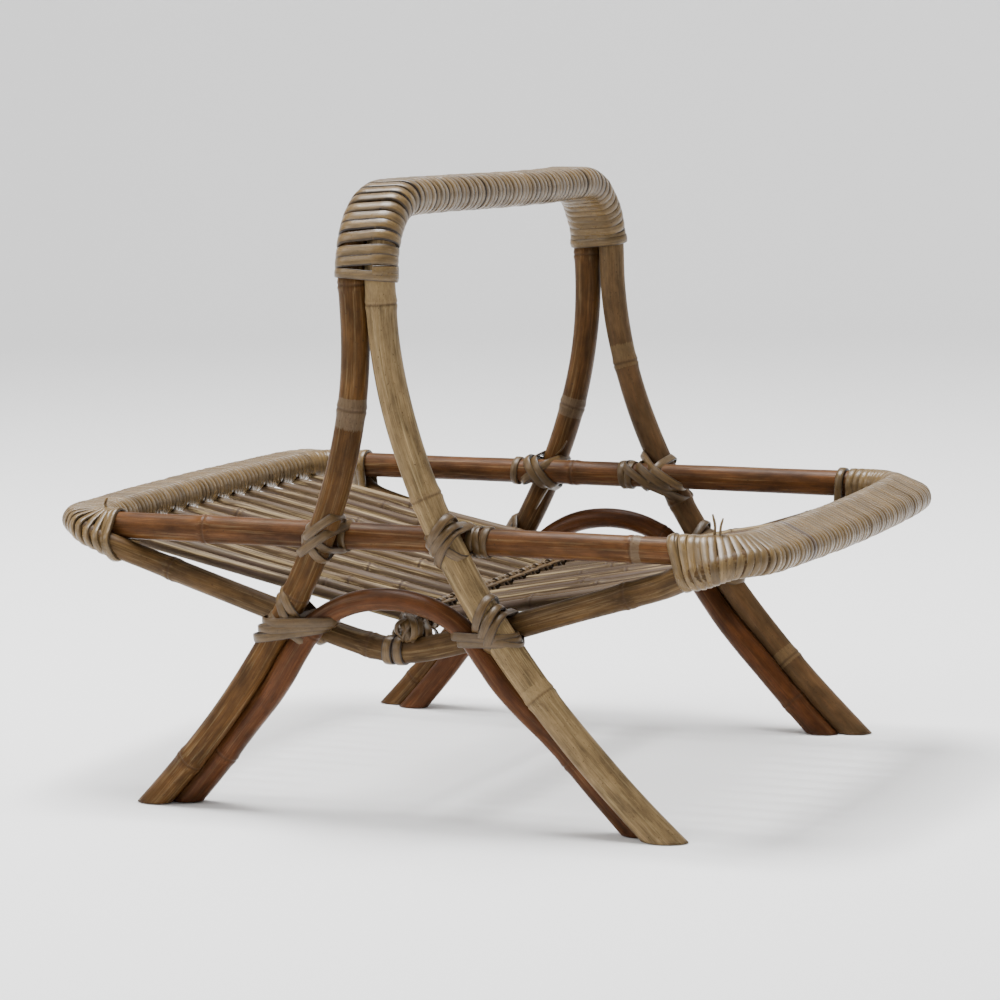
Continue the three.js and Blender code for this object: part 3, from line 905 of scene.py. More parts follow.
POLE_RADII = {
    name: tapered(POLES[name]["radius"], (0.0, 0.22, 0.5, 0.78, 1.0), shares)
    for name, shares in {
        "left": (1.03, 1.05, 1.06, 1.06, 1.02),
        "right": (1.14, 1.04, 1.0, 0.94, 1.0),
    }.items()
}
ARCH_RADIUS = tapered(ARCH_R, (0, 0.32, 0.41, 0.59, 0.68, 1), (1.17, 1.16, 0.98, 0.98, 1.16, 1.17))
RAIL_RADIUS = tapered(RAIL_R, (0, 0.3, 0.7, 1), (0.86, 0.9, 1.04, 1.06))
# Places of the node rings: x along the rim and the rails, and shares of an arch rod's length.
RIM_NODES = {"near": (-125, 152), "far": (-22,)}
RAIL_NODES = {"near": (-153, -18, 146), "far": (-96, 62, 150)}
ARCH_NODES = {"near": (0.13, 0.36, 0.83), "far": (0.2, 0.58, 0.9)}
BAR_NODES = (60, 214)


POLE_NODES = {  # heights of the node rings, on the near leg and on the far leg
    "left": {"near": (28, 134, 248, 322), "far": (18, 118, 213, 316)},
    "right": {"near": (81, 196, 311), "far": (46, 150, 243)},
}
POLE_PATCHES = {  # heights between which the skin is grey or bare
    "left": {"near": ((236, 255),), "far": ((206, 219),)},
    "right": {"near": ((311, 327), (81, 87)), "far": ((240, 256), (44, 52))},
}


def leg_of(rows, side_name):
    """The near or the far half of what runs along a pole."""
    half = len(rows) // 2
    return rows[:half] if side_name == "near" else rows[half:]


def heights_to_lengths(line, side_name, heights):
    """Distances along a pole of some heights on its near or far leg."""
    z, s = leg_of(line[:, 2], side_name), leg_of(lengths(line), side_name)
    order = np.argsort(z)
    return [float(np.interp(h, z[order], s[order])) for h in heights]


def xs_to_lengths(line, xs, side_name):
    """Distances along the rim or a rail of some x places on its near or far long side."""
    s = lengths(line)
    off_side = 1e3 * (line[:, 1] * SIDES[side_name] < 120)
    return [float(s[int(np.argmin(np.abs(line[:, 0] - x) + off_side))]) for x in xs]


LINES = {}


def lines():
    """Every rod's centre line, worked out once."""
    if not LINES:
        for name, pole in POLES.items():
            LINES["pole", name] = pole_line(pole)
        for side in SIDES:
            LINES["arch", side] = arch_line(side)
            LINES["rail", side] = rail_line(side)
        LINES["rim"] = rim_line()
        LINES["bar"] = np.array([(BAR_X, y, BAR_Z) for y in np.linspace(-RAIL_Y, RAIL_Y, 30)])
    return LINES


RADII = {"rim": RIM_R, "rail": RAIL_R, "arch": ARCH_R, "bar": BAR_R}


def crossing_rod(kind, name, near):
    key = kind if kind in ("rim", "bar") else (kind, name)
    radius = POLES[name]["radius"] if kind == "pole" else RADII[kind]
    return rod_at(lines()[key], radius, near)


def unsmoked(share):
    return np.zeros(len(share))


POLE_FINISHES = {"left": "smoked_cane_left_pole", "right": "straw_cane_right_pole"}
# How smoked each pole is on the handle, at the far bend and from a little below it.
SMOKE_PLACES = (0.45, 0.62, 0.74)
POLE_SMOKE = {"left": (0.1, 0.1, 0.3), "right": (0.0, 0.25, 0.85)}
RIM_JOINT_GAP = 0.5
BARE_RIM = 6.0


class RACK_OT_handle_poles(bpy.types.Operator):
    """Two long cane poles, each bent from a near foot over the handle to a far foot"""

    bl_idname = "rack.handle_poles"
    bl_label = "Handle poles"

    def execute(self, context):
        for seed, name in enumerate(POLES, 3):
            line = lines()["pole", name]
            nodes, spans = [], []
            for side in SIDES:
                nodes += heights_to_lengths(line, side, POLE_NODES[name][side])
                for patch in POLE_PATCHES[name][side]:
                    spans.append(sorted(heights_to_lengths(line, side, patch)))
            smoke = tapered(1.0, SMOKE_PLACES, POLE_SMOKE[name])
            rod, along = bent_rod(f"pole_{name}", line, POLE_RADII[name], nodes, 28, 5.0, 0.6, seed, smoke)
            set_patch(rod, along, spans)
            saw_at_floor(rod)
            finish_piece(rod, f"handle_pole_{name}", POLE_FINISHES[name])
        return {"FINISHED"}


class RACK_OT_arch_rods(bpy.types.Operator):
    """Two thin dark rods bent as arches between the legs"""

    bl_idname = "rack.arch_rods"
    bl_label = "Arch rods"

    def execute(self, context):
        for seed, name in enumerate(SIDES, 11):
            line = lines()["arch", name]
            nodes = [lengths(line)[-1] * share for share in ARCH_NODES[name]]
            rod, _ = bent_rod(f"arch_{name}", line, ARCH_RADIUS, nodes, 24, 4.0, 0.3, seed, unsmoked)
            saw_at_floor(rod)
            finish_piece(rod, f"{name}_arch_rod", "dark_smoked_cane_arch")
        return {"FINISHED"}


class RACK_OT_rim(bpy.types.Operator):
    """One rod bent round the top of the trough"""

    bl_idname = "rack.rim"
    bl_label = "Rim"

    def execute(self, context):
        line = lines()["rim"]
        nodes = [s for name in SIDES for s in xs_to_lengths(line, RIM_NODES[name], name)]
        s = lengths(line)
        open_ring = between(np.linspace(RIM_JOINT_GAP, s[-1] - RIM_JOINT_GAP, 400), s, line)
        rod, along = bent_rod("rim", open_ring, lambda share: RIM_R, nodes, 24, 5.0, 0.4, 21, unsmoked)
        set_patch(rod, along, [(nodes[1], nodes[1] + BARE_RIM)])
        finish_piece(rod, "rim_rod", "smoked_cane_rim")
        return {"FINISHED"}


class RACK_OT_lower_rails(bpy.types.Operator):
    """Two rods bent to a shallow V, turning the corners to lie beside the rim's ends"""

    bl_idname = "rack.lower_rails"
    bl_label = "Lower rails"

    def execute(self, context):
        for seed, name in enumerate(SIDES, 31):
            line = lines()["rail", name]
            nodes = xs_to_lengths(line, RAIL_NODES[name], name)
            rod, _ = bent_rod(f"lower_rail_{name}", line, RAIL_RADIUS, nodes, 24, 5.0, 0.4, seed, unsmoked)
            finish_piece(rod, f"{name}_lower_rail", "smoked_cane_rail")
        return {"FINISHED"}


class RACK_OT_crossbar(bpy.types.Operator):
    """A straight rod along the bottom of the trough"""

    bl_idname = "rack.crossbar"
    bl_label = "Crossbar"

    def execute(self, context):
        bar = lines()["bar"]
        rod, _ = bent_rod("crossbar", bar, lambda share: BAR_R, BAR_NODES, 20, 6.0, 0.2, 41, unsmoked)
        finish_piece(rod, "crossbar", "smoked_cane_rail")
        return {"FINISHED"}


class RACK_OT_slats(bpy.types.Operator):
    """Thin slats from the ends of the rim down to the crossbar"""

    bl_idname = "rack.slats"
    bl_label = "Slats"

    def execute(self, context):
        rng = random.Random(8)
        for hand_name, hand in HANDS.items():
            for index in range(SLATS_PER_SIDE):
                y = slat_y(index)
                ends = slat_line(hand, y)
                share = np.linspace(0, 1, 14)[:, None]
                line = ends[0] + (ends[1] - ends[0]) * share
                line[:, 1] += np.interp(share[:, 0], (0, 0.5, 1), (0, rng.uniform(-1.2, 1.2), 0))
                line[:, 2] += np.interp(share[:, 0], (0, 0.5, 1), (0, rng.uniform(-1.0, 0.4), 1.3))
                radius = SLAT_R * rng.uniform(0.9, 1.04)
                taper = rng.uniform(-0.06, 0.06)
                total = lengths(line)[-1]
                nodes = [total * rng.uniform(0.15, 0.5)]
                if rng.random() < 0.5:
                    nodes.append(total * rng.uniform(0.6, 0.9))
                name = f"slat_{hand_name}_{index + 1:02d}"

                def slat_radius(share):  # shaved thin at its outer end
                    shaved = np.interp(share, (0.9, 1.0), (1, 0.62))
                    return radius * (1 + taper * (share - 0.5) * 2) * shaved

                seed = index + 50 + hand * 20
                line = smooth_curve(line, 3)
                rod, _ = bent_rod(name + "_cane", line, slat_radius, nodes, 14, 6.0, 0.5, seed)
                finish_piece(rod, name, "weathered_cane_slat")
        return {"FINISHED"}


# -------------------------------------------------------------------------------------- windings
HANDLE_WRAP_Z = 324
HANDLE_PITCH = 6.2
HANDLE_WIDER = 1.27
WOUND_LIFT = 0.25
END_PITCH = 5.0
END_WIDER = 1.03
END_SPREAD = 16.0  # how far outside the rim's centre the turns of an end are evenly spaced
END_START_X = {"right": {"near": 179, "far": 178}, "left": {"near": 189, "far": 176}}
# How much the turns at the near start of each end lean, so that they cross rim and rail squarely.
END_LEAN = {"right": (0.42, -0.14), "left": (-0.2, 0.1)}
END_LEAN_FADE = 30
# The last turn of each end: how far past the winding it lies, and its tone.
END_LAST_TURN = {"right": (5.5, 0.12), "left": (0.6, 0.6)}
STAINED_Y = -95.0
SLAT_YS = np.array([slat_y(i) for i in range(SLATS_PER_SIDE)])
SLAT_BULGE = 1.9
BETWEEN_SLATS = math.radians(62)
# Torn strip ends that stand up from the near corner: x and z along each.
TORN_STRANDS = {
    "right": (((200, 178), (200.5, 184), (199, 191)), ((203.5, 178), (204, 184), (205.5, 189))),
    "left": (((-199, 178), (-200.5, 181), (-199, 185)),),
}
# An end tucked in between the rim and the lower rail at the left: x, distance outside the rim, z.
TUCKED_END = ((-190, 3, 158.5), (-181, 5, 158), (-173, 2, 159))


class RACK_OT_handle_binding(bpy.types.Operator):
    """Cane strip wound round both poles, over the handle and down its bends"""

    bl_idname = "rack.handle_binding"
    bl_label = "Handle binding"

    def execute(self, context):
        sizes = context.scene.rack_sizes
        width, thick = sizes.strip_width / MM, sizes.strip_thickness / MM
        left, right = lines()["pole", "left"], lines()["pole", "right"]
        middle = (left + right) / 2
        across = np.repeat(X_AXIS[None, :], len(middle), axis=0)
        outward = unit_rows(np.cross(tangents(middle), across))
        s = lengths(middle)
        start, end = (heights_to_lengths(middle, side, (HANDLE_WRAP_Z,))[0] for side in ("near", "far"))
        half = (POLES["left"]["top"] + POLES["right"]["top"]) / 2
        total = s[-1]

        def outline_at(distance):
            spots = [
                circle_points(pole["hand"] * half, 0, POLE_RADII[name](distance / total) + WOUND_LIFT)
                for name, pole in POLES.items()
            ]
            return even_outline(np.vstack(spots), TURN_STEPS, (0.0, -1.0))

        work = StripWork(61)
        wound = (start + 5, end - 2)
        winding(
            work, middle, across, outward, outline_at, wound, HANDLE_PITCH, width * HANDLE_WIDER, thick + 0.2
        )
        # The strip's ends are turned under: a slanting turn at the near end, a thick one at the far end.
        for distance, slant, thicker in ((start + 4.5, 0.10, 0.5), (end - 1, 0.04, 1.0)):
            i = int(np.argmin(np.abs(s - distance)))
            rods = [
                straight(line[i], tangents(line)[i], POLE_RADII[name](s[i] / total))
                for name, line in (("left", left), ("right", right))
            ]
            normal = tangents(middle)[i] + slant * X_AXIS
            strap(work, middle[i], normal, rods, width * 1.15, thick + thicker, 0.3, 0.62)
        finish_piece(work.piece("handle_wrap"), "handle_binding", "split_cane_binding")
        return {"FINISHED"}


def end_line(hand_name):
    """The rim's centre line round one end, from the near side to the far side."""
    q = mirrored(rim_quarter(hand_name), HANDS[hand_name], 1)
    return smooth_curve(np.vstack([mirrored(q, 1, -1)[::-1], q]), 12)


def off_slat(place):
    """How far a place is from the middle of the nearest slat, across the slats."""
    return place[1] - SLAT_YS[int(np.argmin(np.abs(SLAT_YS - place[1])))]


class RACK_OT_end_bindings(bpy.types.Operator):
    """Cane strip wound round the rim's ends, the lower rails' ends and the slats' tips"""

    bl_idname = "rack.end_bindings"
    bl_label = "End bindings"

    def execute(self, context):
        sizes = context.scene.rack_sizes
        width, thick = sizes.end_strip_width / MM, sizes.strip_thickness / MM
        for hand_name, hand in HANDS.items():
            line = end_line(hand_name)
            s = lengths(line)
            t = tangents(line)
            out = hand * np.cross(t, Z_AXIS)
            up = np.repeat(Z_AXIS[None, :], len(line), axis=0)
            starts = END_START_X[hand_name]
            start = length_where(leg_of(line, "near"), 0, hand * starts["near"])
            half = s[len(line) // 2]
            end = length_where(line, 0, hand * starts["far"], half)
            rails = np.vstack([lines()["rail", "near"], lines()["rail", "far"]])

            def lean_at(distance):
                gone = distance - start
                late = smoothstep(gone, 12, 34) * (1 - smoothstep(gone, 62, 95))
                first, second = END_LEAN[hand_name]
                return first * (1 - smoothstep(gone, 0, END_LEAN_FADE)) + second * late

            def rail_offset(distance):
                """How far out and up from the rim the rail beside it lies, and the rim's place."""
                place, o, ahead = (between(distance, s, rows) for rows in (line, out, t))
                gaps = rails - place
                miss = np.abs(gaps @ ahead + lean_at(distance) * gaps[:, 2])
                gap = gaps[int(np.argmin(miss + 1e3 * (np.linalg.norm(gaps, axis=1) > 45)))]
                return gap.dot(o), gap[2], place

            def outline_at(distance):
                a, b, place = rail_offset(distance)
                rail_radius = END_RAIL_R[hand_name] + 0.2
                spots = [circle_points(0, 0, RIM_R + WOUND_LIFT), circle_points(a, b, rail_radius)]
                off = abs(off_slat(place))
                if hand > 0 and off < SLAT_PITCH / 2 + 2:
                    turned = min(off, SLAT_PITCH / 2) / (SLAT_PITCH / 2) * math.pi
                    bulge = SLAT_BULGE * (0.55 + 0.45 * math.cos(turned))
                    spots.append(circle_points(1.5, -SLAT_END_DROP + SLAT_R - bulge, bulge))
                return even_outline(np.vstack(spots), TURN_STEPS, (0.8, -1.0))

            def bend_at(distance, spot):
                """Turns bunch between the slats, where the slats come out under the rim."""
                off = off_slat(between(distance, s, line))
                leaned_by = -spot[1] * lean_at(distance)
                if abs(off) > SLAT_PITCH / 2 + 1:
                    return leaned_by
                angle = math.atan2(spot[1] + 2, spot[0])
                below = smoothstep(-math.cos(angle - BETWEEN_SLATS), 0.5, 0.92)
                pushed = math.copysign(4.1 + abs(off) * 0.62, off)
                return leaned_by + (pushed - off) * below

            stained = length_where(line, 1, STAINED_Y, start + 60) if hand_name == "right" else None
            work = StripWork(71 + hand)
            winding(
                work, line, out, up, outline_at, (start, end), END_PITCH, width * END_WIDER, thick,
                END_SPREAD, bend_at, stained,
            )
            past, last_tone = END_LAST_TURN[hand_name]
            for distance, tone in ((start - 0.6, 0.6), (end + past, last_tone)):
                i = int(np.argmin(np.abs(s - distance)))
                a, b, place = rail_offset(distance)
                lean = lean_at(distance)
                under = line[i] + out[i] * a + up[i] * b - t[i] * b * lean
                rail = lines()["rail", "near" if distance < half else "far"]
                rods = [straight(line[i], t[i], RIM_R), rod_at(rail, END_RAIL_R[hand_name], under)]
                normal = t[i] + (lean or 0.05) * up[i]
                strap(work, line[i], normal, rods, width * 1.1, thick + 0.5, 0.3, tone)
            for strand in TORN_STRANDS[hand_name]:
                loose_end(work, [(x, -RIM_Y + 4, z) for x, z in strand], X_AXIS, 3.0, 0.8, 0.95)
            if hand_name == "left":
                tuck = [(x, -RIM_Y - outside, z) for x, outside, z in TUCKED_END]
                loose_end(work, tuck, -Y_AXIS, 6.0, 1.2, 0.9)
            piece = work.piece(f"end_wrap_{hand_name}")
            finish_piece(piece, f"{hand_name}_end_binding", "split_cane_binding")
        return {"FINISHED"}


# ------------------------------------------------------------------------------------- lashings
def pointing(direction, axis):
    """A rod's direction, turned to point the positive way along an axis."""
    return direction * math.copysign(1, direction[axis])


def finish_lashing(work, name, node):
    finish_piece(work.piece(name), node, "split_cane_lashing")


def crossed_straps(work, centre, one, other, rods, layers, tones):
    """Bands of side-by-side turns over a crossing of two rods, each layer over the one before.
    A "short" band crosses between the rods' wide angles, and a "long" one lies along the narrow ones."""
    width, thick = LASHING_STRIP, LASHING_THICK
    diagonals = sorted((one + other, one - other), key=np.linalg.norm)
    for layer, (kind, count) in enumerate(layers):
        along = unit(diagonals[0 if kind == "short" else 1])
        normal = unit(np.cross(along, Y_AXIS))
        for k in range(count):
            aside = (k - (count - 1) / 2) * width * 0.9
            tilt = along * work.rng.uniform(-0.08, 0.08) + Y_AXIS * work.rng.uniform(-0.06, 0.06)
            lift = 0.2 + layer * thick * 0.8 + work.rng.uniform(0, 0.3)
            tone = tones[0] + work.rng.uniform(-1, 1) * tones[1]
            strap(work, centre + normal * aside, normal + tilt, rods, width, thick, lift, tone)


def ring_straps(work, rod, offsets, width, lift, tone, slant):
    """Plain turns round one rod, side by side."""
    for k, offset in enumerate(offsets):
        normal = rod["direction"] + slant * Z_AXIS * (1 if k % 2 else -0.6)
        centre = rod["point"] + rod["direction"] * offset
        own_tone = tone + work.rng.uniform(-0.2, 0.2)
        strap(work, centre, normal, [rod], width, LASHING_THICK, lift, own_tone, 32)


def loose_end(work, points, face, width, thick, tone):
    """A free strand end: a narrow strip along a bent path, pointed at its tip."""
    path = smooth_curve(np.array(points, float), 6)
    t = tangents(path)
    out = carried_normals(path, face)
    work.lay(path, out, np.cross(t, out), width, thick, [tone] * len(path), taper=True)


# Layers of crossed turns on the rim, their tone and its spread, and the rings on the rim beside them.
TOP_TURNS = {
    ("near", "left"): ((("short", 2), ("long", 2)), (0.42, 0.22), (13.0,)),
    ("near", "right"): ((("long", 1), ("short", 3)), (0.6, 0.3), (13.5, 18.0, 22.5)),
    ("far", "left"): ((("long", 1), ("short", 2)), (0.45, 0.2), (-14.0,)),
    ("far", "right"): ((("short", 1), ("long", 3)), (0.65, 0.25), (-14.0, -18.6)),
}
# Two loose ends of the far left lashing, from where the leg passes the rim: path, width and tone.
LOOSE_ENDS = (
    (((6, -8, 10), (11, -10, 14), (15, -11, 20)), 2.6, 0.5),
    (((4, -12, -9), (-1, -16, -18), (-6, -17, -27)), 3.4, 0.75),
)
# Level turns round a leg and an arch rod, their rise, how far down they lie, and the crossed layers.
LOWER_TURNS = {
    ("near", "left"): (3, 0.04, 2, (("short", 2), ("long", 1))),
    ("near", "right"): (2, 0.03, 4, (("long", 1), ("short", 3))),
    ("far", "left"): (2, 0.1, 10, (("long", 1), ("short", 2))),
    ("far", "right"): (2, -0.1, 10, (("short", 2), ("long", 1))),
}


class RACK_OT_top_lashings(bpy.types.Operator):
    """Crossed strip lashings where each leg passes the rim"""

    bl_idname = "rack.top_lashings"
    bl_label = "Top lashings"

    def execute(self, context):
        for (side_name, pole_name), (layers, tones, rings) in TOP_TURNS.items():
            leg = leg_of(lines()["pole", pole_name], side_name)
            touch = leg[int(np.argmin(np.abs(leg[:, 2] - RIM_Z)))]
            leg_rod = crossing_rod("pole", pole_name, touch)
            rim_rod = crossing_rod("rim", None, (touch[0], SIDES[side_name] * RIM_Y, RIM_Z))
            centre = (leg_rod["point"] + rim_rod["point"]) / 2
            up, along = pointing(leg_rod["direction"], 2), pointing(rim_rod["direction"], 0)
            work = StripWork(81 + len(side_name) + 7 * len(pole_name))
            crossed_straps(work, centre, up, along, [leg_rod, rim_rod], layers, tones)
            ring_straps(work, dict(rim_rod, direction=along), rings, 4.7, 0.2, 0.4, 0.14)
            if (side_name, pole_name) == ("far", "left"):
                for path, width, tone in LOOSE_ENDS:
                    loose_end(work, touch + np.array(path), X_AXIS, width, 0.9, tone)
            name = f"lashing_{side_name}_{pole_name}"
            finish_lashing(work, "rim_" + name, "top_" + name)
        return {"FINISHED"}


class RACK_OT_lower_lashings(bpy.types.Operator):
    """Lashings where a leg and an arch rod pass a lower rail"""

    bl_idname = "rack.lower_lashings"
    bl_label = "Lower lashings"

    def execute(self, context):
        for (side_name, pole_name), (levels, rise, drop, layers) in LOWER_TURNS.items():
            hand, side = HANDS[pole_name], SIDES[side_name]
            leg = leg_of(lines()["pole", pole_name], side_name)
            touch = leg[int(np.argmin([abs(place[2] - rail_z(place[0])) for place in leg]))]
            leg_rod = crossing_rod("pole", pole_name, touch)
            arch_rod = crossing_rod("arch", side_name, touch + np.array([-hand * 12.0, 0, 4.0]))
            rail_rod = crossing_rod("rail", side_name, touch)
            centre = (leg_rod["point"] + arch_rod["point"] + rail_rod["point"]) / 3
            pair = (leg_rod["point"] + arch_rod["point"]) / 2
            up, along = pointing(leg_rod["direction"], 2), pointing(rail_rod["direction"], 0)
            work = StripWork(131 + hand * 5 + side * 11)
            # Where three level turns lie over the crossed ones, a slanting turn lies under them all.
            crossed_first = levels == 3
            if crossed_first:
                low = pair - Z_AXIS * 9 + X_AXIS * 2
                strap(work, low, X_AXIS * 0.6 + Z_AXIS * 0.8, [leg_rod, arch_rod], 4.6, 1.1, 0.2, 0.35)
                crossed_straps(work, centre + up * 3, up, along, [leg_rod, rail_rod], layers, (0.45, 0.2))
            for k in range(levels):
                lift = 0.2 + (1.6 if crossed_first else 0.0) + work.rng.uniform(0, 0.3)
                normal = Z_AXIS - rise * X_AXIS * (1 + 1.6 * k)
                place = pair + Z_AXIS * ((1 - k) * 3.4 - drop)
                tone = work.rng.uniform(0.2, 0.6)
                strap(work, place, normal, [leg_rod, arch_rod], LASHING_STRIP, LASHING_THICK, lift, tone, 52)
            if not crossed_first:
                crossed_straps(work, centre, up, along, [leg_rod, rail_rod], layers, (0.5, 0.25))
            name = f"lashing_{side_name}_{pole_name}"
            finish_lashing(work, "rail_" + name, "lower_" + name)
        return {"FINISHED"}


TIE_STRIP = 4.6
LACE_STRIP = 4.4
LACE_LANE = 3.2
LACE_WAVE = 2.4


class RACK_OT_crossbar_ties(bpy.types.Operator):
    """Strip lashings that hold the crossbar's ends on the lower rails"""

    bl_idname = "rack.crossbar_ties"
    bl_label = "Crossbar ties"

    def execute(self, context):
        for side_name, side in SIDES.items():
            rail_rod = straight((BAR_X, side * RAIL_Y, RAIL_LOW_Z), X_AXIS, RAIL_R)
            bar_rod = straight((BAR_X + 3, side * (RAIL_Y - 4), BAR_Z), Y_AXIS, BAR_R)
            ledge = straight((BAR_X + 3, side * (RAIL_Y - 5), BAR_Z - 5), X_AXIS, 4.5)
            centre = (ledge["point"] + bar_rod["point"]) / 2
            work = StripWork(171 + side)
            for layer, sign in enumerate((1, -1)):
                normal = np.cross(unit(X_AXIS + sign * Y_AXIS), Z_AXIS)
                lift = 0.2 + layer * LASHING_THICK
                for k in (-1, 0, 1):
                    tone = work.rng.uniform(0.3, 0.6)
                    place = centre + normal * k * 5
                    strap(work, place, normal, [ledge, bar_rod], TIE_STRIP, LASHING_THICK, lift, tone)
            # Strips laid over the bar's end, slanting from above it to below it.
            for top_shift, low_shift in ((-4.5, 4.0), (4.5, -3.5), (0.5, -0.5)):
                over = [(top_shift, -12, 7.8), (top_shift * 0.9, 0, 7.4), (top_shift * 0.4, 6.0, 2.5)]
                over += [(low_shift * 0.6, 6.6, -3.0), (low_shift, 4.0, -8.4)]
                path = [(BAR_X + 3 + dx, side * (RAIL_Y + dy), BAR_Z + dz) for dx, dy, dz in over]
                loose_end(work, path, Z_AXIS, 4.8, 1.3, work.rng.uniform(0.3, 0.65))
            ring_straps(work, rail_rod, (-10.0, -3.0), 6.2, 0.15, 0.85, 0.05)
            finish_lashing(work, f"bar_tie_{side_name}", f"crossbar_tie_{side_name}")
        return {"FINISHED"}


class RACK_OT_slat_lacing(bpy.types.Operator):
    """Strip that laces the slats' inner ends to the crossbar"""

    bl_idname = "rack.slat_lacing"
    bl_label = "Slat lacing"

    def execute(self, context):
        work = StripWork(181)
        reach = slat_y(SLATS_PER_SIDE - 1) + 11
        top = SLAT_BAR_Z + SLAT_R + 0.5
        ys = np.arange(-reach, reach + 0.1, 2.0)
        for lane, phase in ((-LACE_LANE, math.pi), (LACE_LANE, 2 * math.pi)):
            wave = np.cos(ys / SLAT_PITCH * 2 * math.pi + phase)
            points = np.stack([BAR_X + lane + LACE_WAVE * wave, ys, top + 0.7 + 0.8 * wave], axis=1)
            out = np.repeat(Z_AXIS[None, :], len(ys), axis=0)
            side = np.cross(tangents(points), out)
            work.lay(points, out, side, LACE_STRIP, LASHING_THICK, [work.rng.uniform(0.6, 0.9)] * len(ys))
        for index in range(SLATS_PER_SIDE + 1):
            y = slat_y(index) - SLAT_PITCH / 2
            rods = [straight((BAR_X, y, BAR_Z), Y_AXIS, BAR_R), straight((BAR_X, y, top), Y_AXIS, 2.2)]
            for shift, slant in ((-3.0, 0.35), (3.0, -0.35)):
                place, normal = np.array([BAR_X, y + shift, BAR_Z]), np.array([slant, 1.0, 0.0])
                tone = work.rng.uniform(0.6, 1.0)
                strap(work, place, normal, rods, 5.0, LASHING_THICK, 0.3, tone, 32)
        finish_lashing(work, "bar_lacing", "slat_lacing")
        return {"FINISHED"}


# ----------------------------------------------------------------------------------------- stage
def soft_light(name, place, aim, size, power):
    data = bpy.data.lights.new(name, "AREA")
    data.size = size
    data.energy = power
    lamp = bpy.data.objects.new(name, data)
    lamp.location = place
    direction = Vector(aim) - Vector(place)
    lamp.rotation_euler = direction.to_track_quat("-Z", "Y").to_euler()
    bpy.context.scene.collection.objects.link(lamp)


def aim_camera(camera):
    """Puts the camera on its sphere round the aim, looking inwards, and then rolls it."""
    a, e, roll = (math.radians(CAMERA[key]) for key in ("azimuth", "elevation", "roll"))
    back = Vector((math.sin(a) * math.cos(e), -math.cos(a) * math.cos(e), math.sin(e)))
    right = Vector((math.cos(a), math.sin(a), 0))
    up = back.cross(right)
    c, s = math.cos(roll), math.sin(roll)
    turned = Matrix((c * right + s * up, c * up - s * right, back)).transposed().to_4x4()
    camera.matrix_world = Matrix.Translation(Vector(CAMERA_AIM) + back * CAMERA["distance"]) @ turned


CAMERA = {"azimuth": 23.19, "elevation": 7.37, "distance": 2.361, "lens": 138.9, "roll": -0.7}
CAMERA_AIM = (0.0352, -0.0901, 0.184)
FLOOR_REACH = 3.2
FLOOR_SIDES = 96
SWEEP_R = 1.2
PAPER = 0.92
ROOM_LIGHT = 0.3
SOFTBOXES = (  # name, place, aim, size and power
    ("overhead_softbox", (-0.4, 0.1, 2.6), (0, 0.1, 0.1), 1.3, 175),
    ("side_softbox", (-2.0, -1.9, 1.9), (0, 0, 0.2), 1.3, 42),
    ("wall_softbox", (0.0, 1.6, 3.4), (0.0, 3.4, 1.2), 2.4, 60),
)


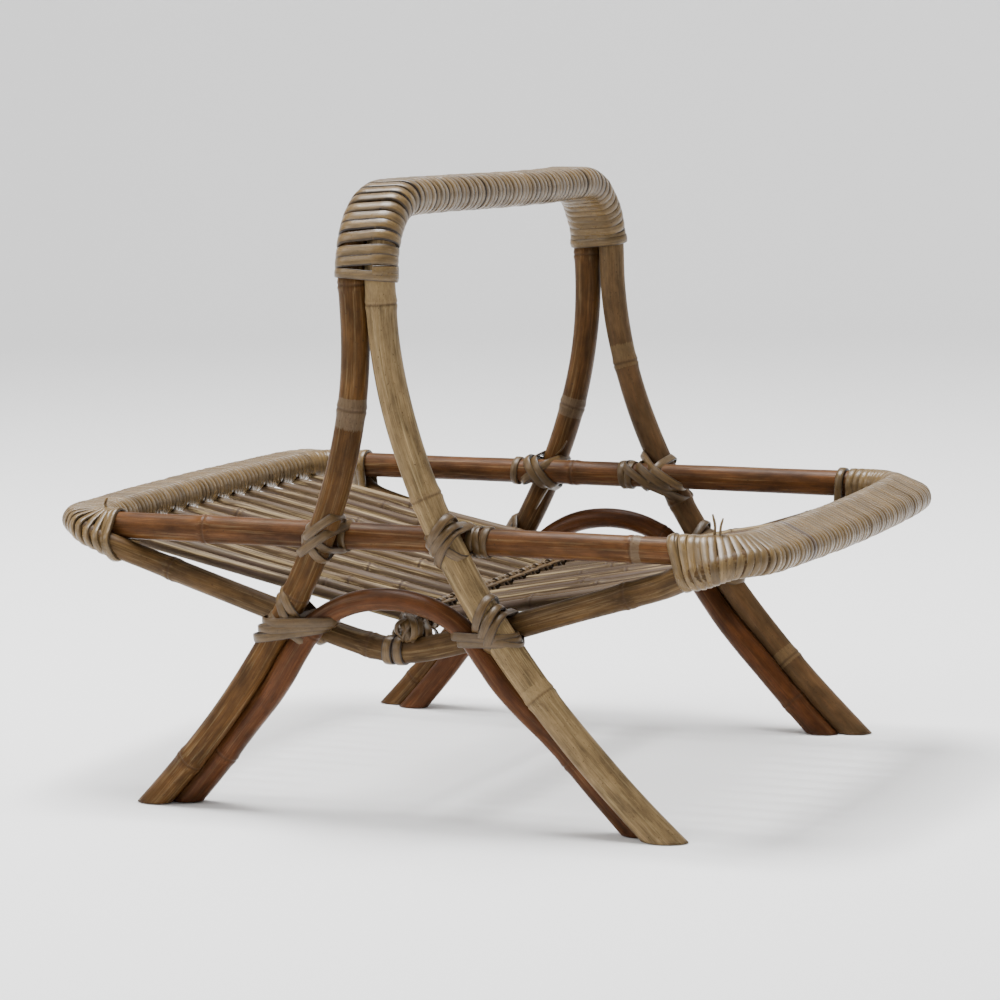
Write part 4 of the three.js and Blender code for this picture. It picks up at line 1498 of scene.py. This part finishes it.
class RACK_OT_stage(bpy.types.Operator):
    """Pale floor, soft studio light and the camera"""

    bl_idname = "rack.stage"
    bl_label = "Stage"

    def execute(self, context):
        deselect_all()
        # Seamless paper: the floor curves up into a low wall all round.
        rings = [(FLOOR_REACH, 0.0)]
        for angle in np.linspace(0.1, math.pi / 2, 14):
            rings.append((FLOOR_REACH + math.sin(angle) * SWEEP_R, SWEEP_R - math.cos(angle) * SWEEP_R))
        rings.append((FLOOR_REACH + SWEEP_R, 1.6 * SWEEP_R))
        verts = []
        for radius, height in rings:
            for angle in np.linspace(0, 2 * math.pi, FLOOR_SIDES, endpoint=False):
                place = (radius * math.cos(angle), radius * math.sin(angle), height - 0.0006)
                verts.append([value / MM for value in place])
        faces = [tuple(range(FLOOR_SIDES))]
        for ring in range(len(rings) - 1):
            for k in range(FLOOR_SIDES):
                low, next_low = ring * FLOOR_SIDES + k, ring * FLOOR_SIDES + (k + 1) % FLOOR_SIDES
                faces.append((low, low + FLOOR_SIDES, next_low + FLOOR_SIDES, next_low))
        floor = mesh_piece("floor", verts, faces)
        smooth(floor)
        material, tree, shader = new_material("matt_white_paper")
        # Seamless paper backdrop: plain matt white.
        shader.inputs["Base Color"].default_value = (PAPER, PAPER, PAPER, 1)
        shader.inputs["Roughness"].default_value = 0.95
        floor.data.materials.append(material)
        world = bpy.data.worlds.new("soft_white_room")
        world.use_nodes = True
        background = world.node_tree.nodes["Background"]
        background.inputs["Color"].default_value = (1, 1, 1, 1)
        background.inputs["Strength"].default_value = ROOM_LIGHT
        context.scene.world = world
        for softbox in SOFTBOXES:
            soft_light(*softbox)
        camera_data = bpy.data.cameras.new("studio_camera")
        camera_data.lens = CAMERA["lens"]
        camera_data.sensor_width = 36
        camera = bpy.data.objects.new("studio_camera", camera_data)
        context.scene.collection.objects.link(camera)
        aim_camera(camera)
        context.scene.camera = camera
        return {"FINISHED"}


PIECE_OPERATORS = (
    RACK_OT_handle_poles,
    RACK_OT_arch_rods,
    RACK_OT_rim,
    RACK_OT_lower_rails,
    RACK_OT_crossbar,
    RACK_OT_slats,
    RACK_OT_handle_binding,
    RACK_OT_end_bindings,
    RACK_OT_top_lashings,
    RACK_OT_lower_lashings,
    RACK_OT_crossbar_ties,
    RACK_OT_slat_lacing,
)


class RACK_PT_panel(bpy.types.Panel):
    """Lists the rack's pieces in the sidebar"""

    bl_idname = "RACK_PT_panel"
    bl_label = "Rattan Magazine Rack"
    bl_space_type = "VIEW_3D"
    bl_region_type = "UI"
    bl_category = "Rack"

    def draw(self, context):
        for group in (context.scene.rack_sizes, context.scene.rack_colours):
            for key in group.bl_rna.properties.keys():
                if key not in ("rna_type", "name"):
                    self.layout.prop(group, key)
        for operator in (*PIECE_OPERATORS, RACK_OT_stage):
            self.layout.operator(operator.bl_idname)


CLASSES = (RackSizes, RackColours, *PIECE_OPERATORS, RACK_OT_stage, RACK_PT_panel)


def register():
    for cls in CLASSES:
        bpy.utils.register_class(cls)
    bpy.types.Scene.rack_sizes = bpy.props.PointerProperty(type=RackSizes)
    bpy.types.Scene.rack_colours = bpy.props.PointerProperty(type=RackColours)


def unregister():
    del bpy.types.Scene.rack_colours
    del bpy.types.Scene.rack_sizes
    for cls in reversed(CLASSES):
        bpy.utils.unregister_class(cls)


def main():
    register()
    for operator in (*PIECE_OPERATORS, RACK_OT_stage):
        group, name = operator.bl_idname.split(".")
        getattr(getattr(bpy.ops, group), name)()


if __name__ == "__main__":
    main()
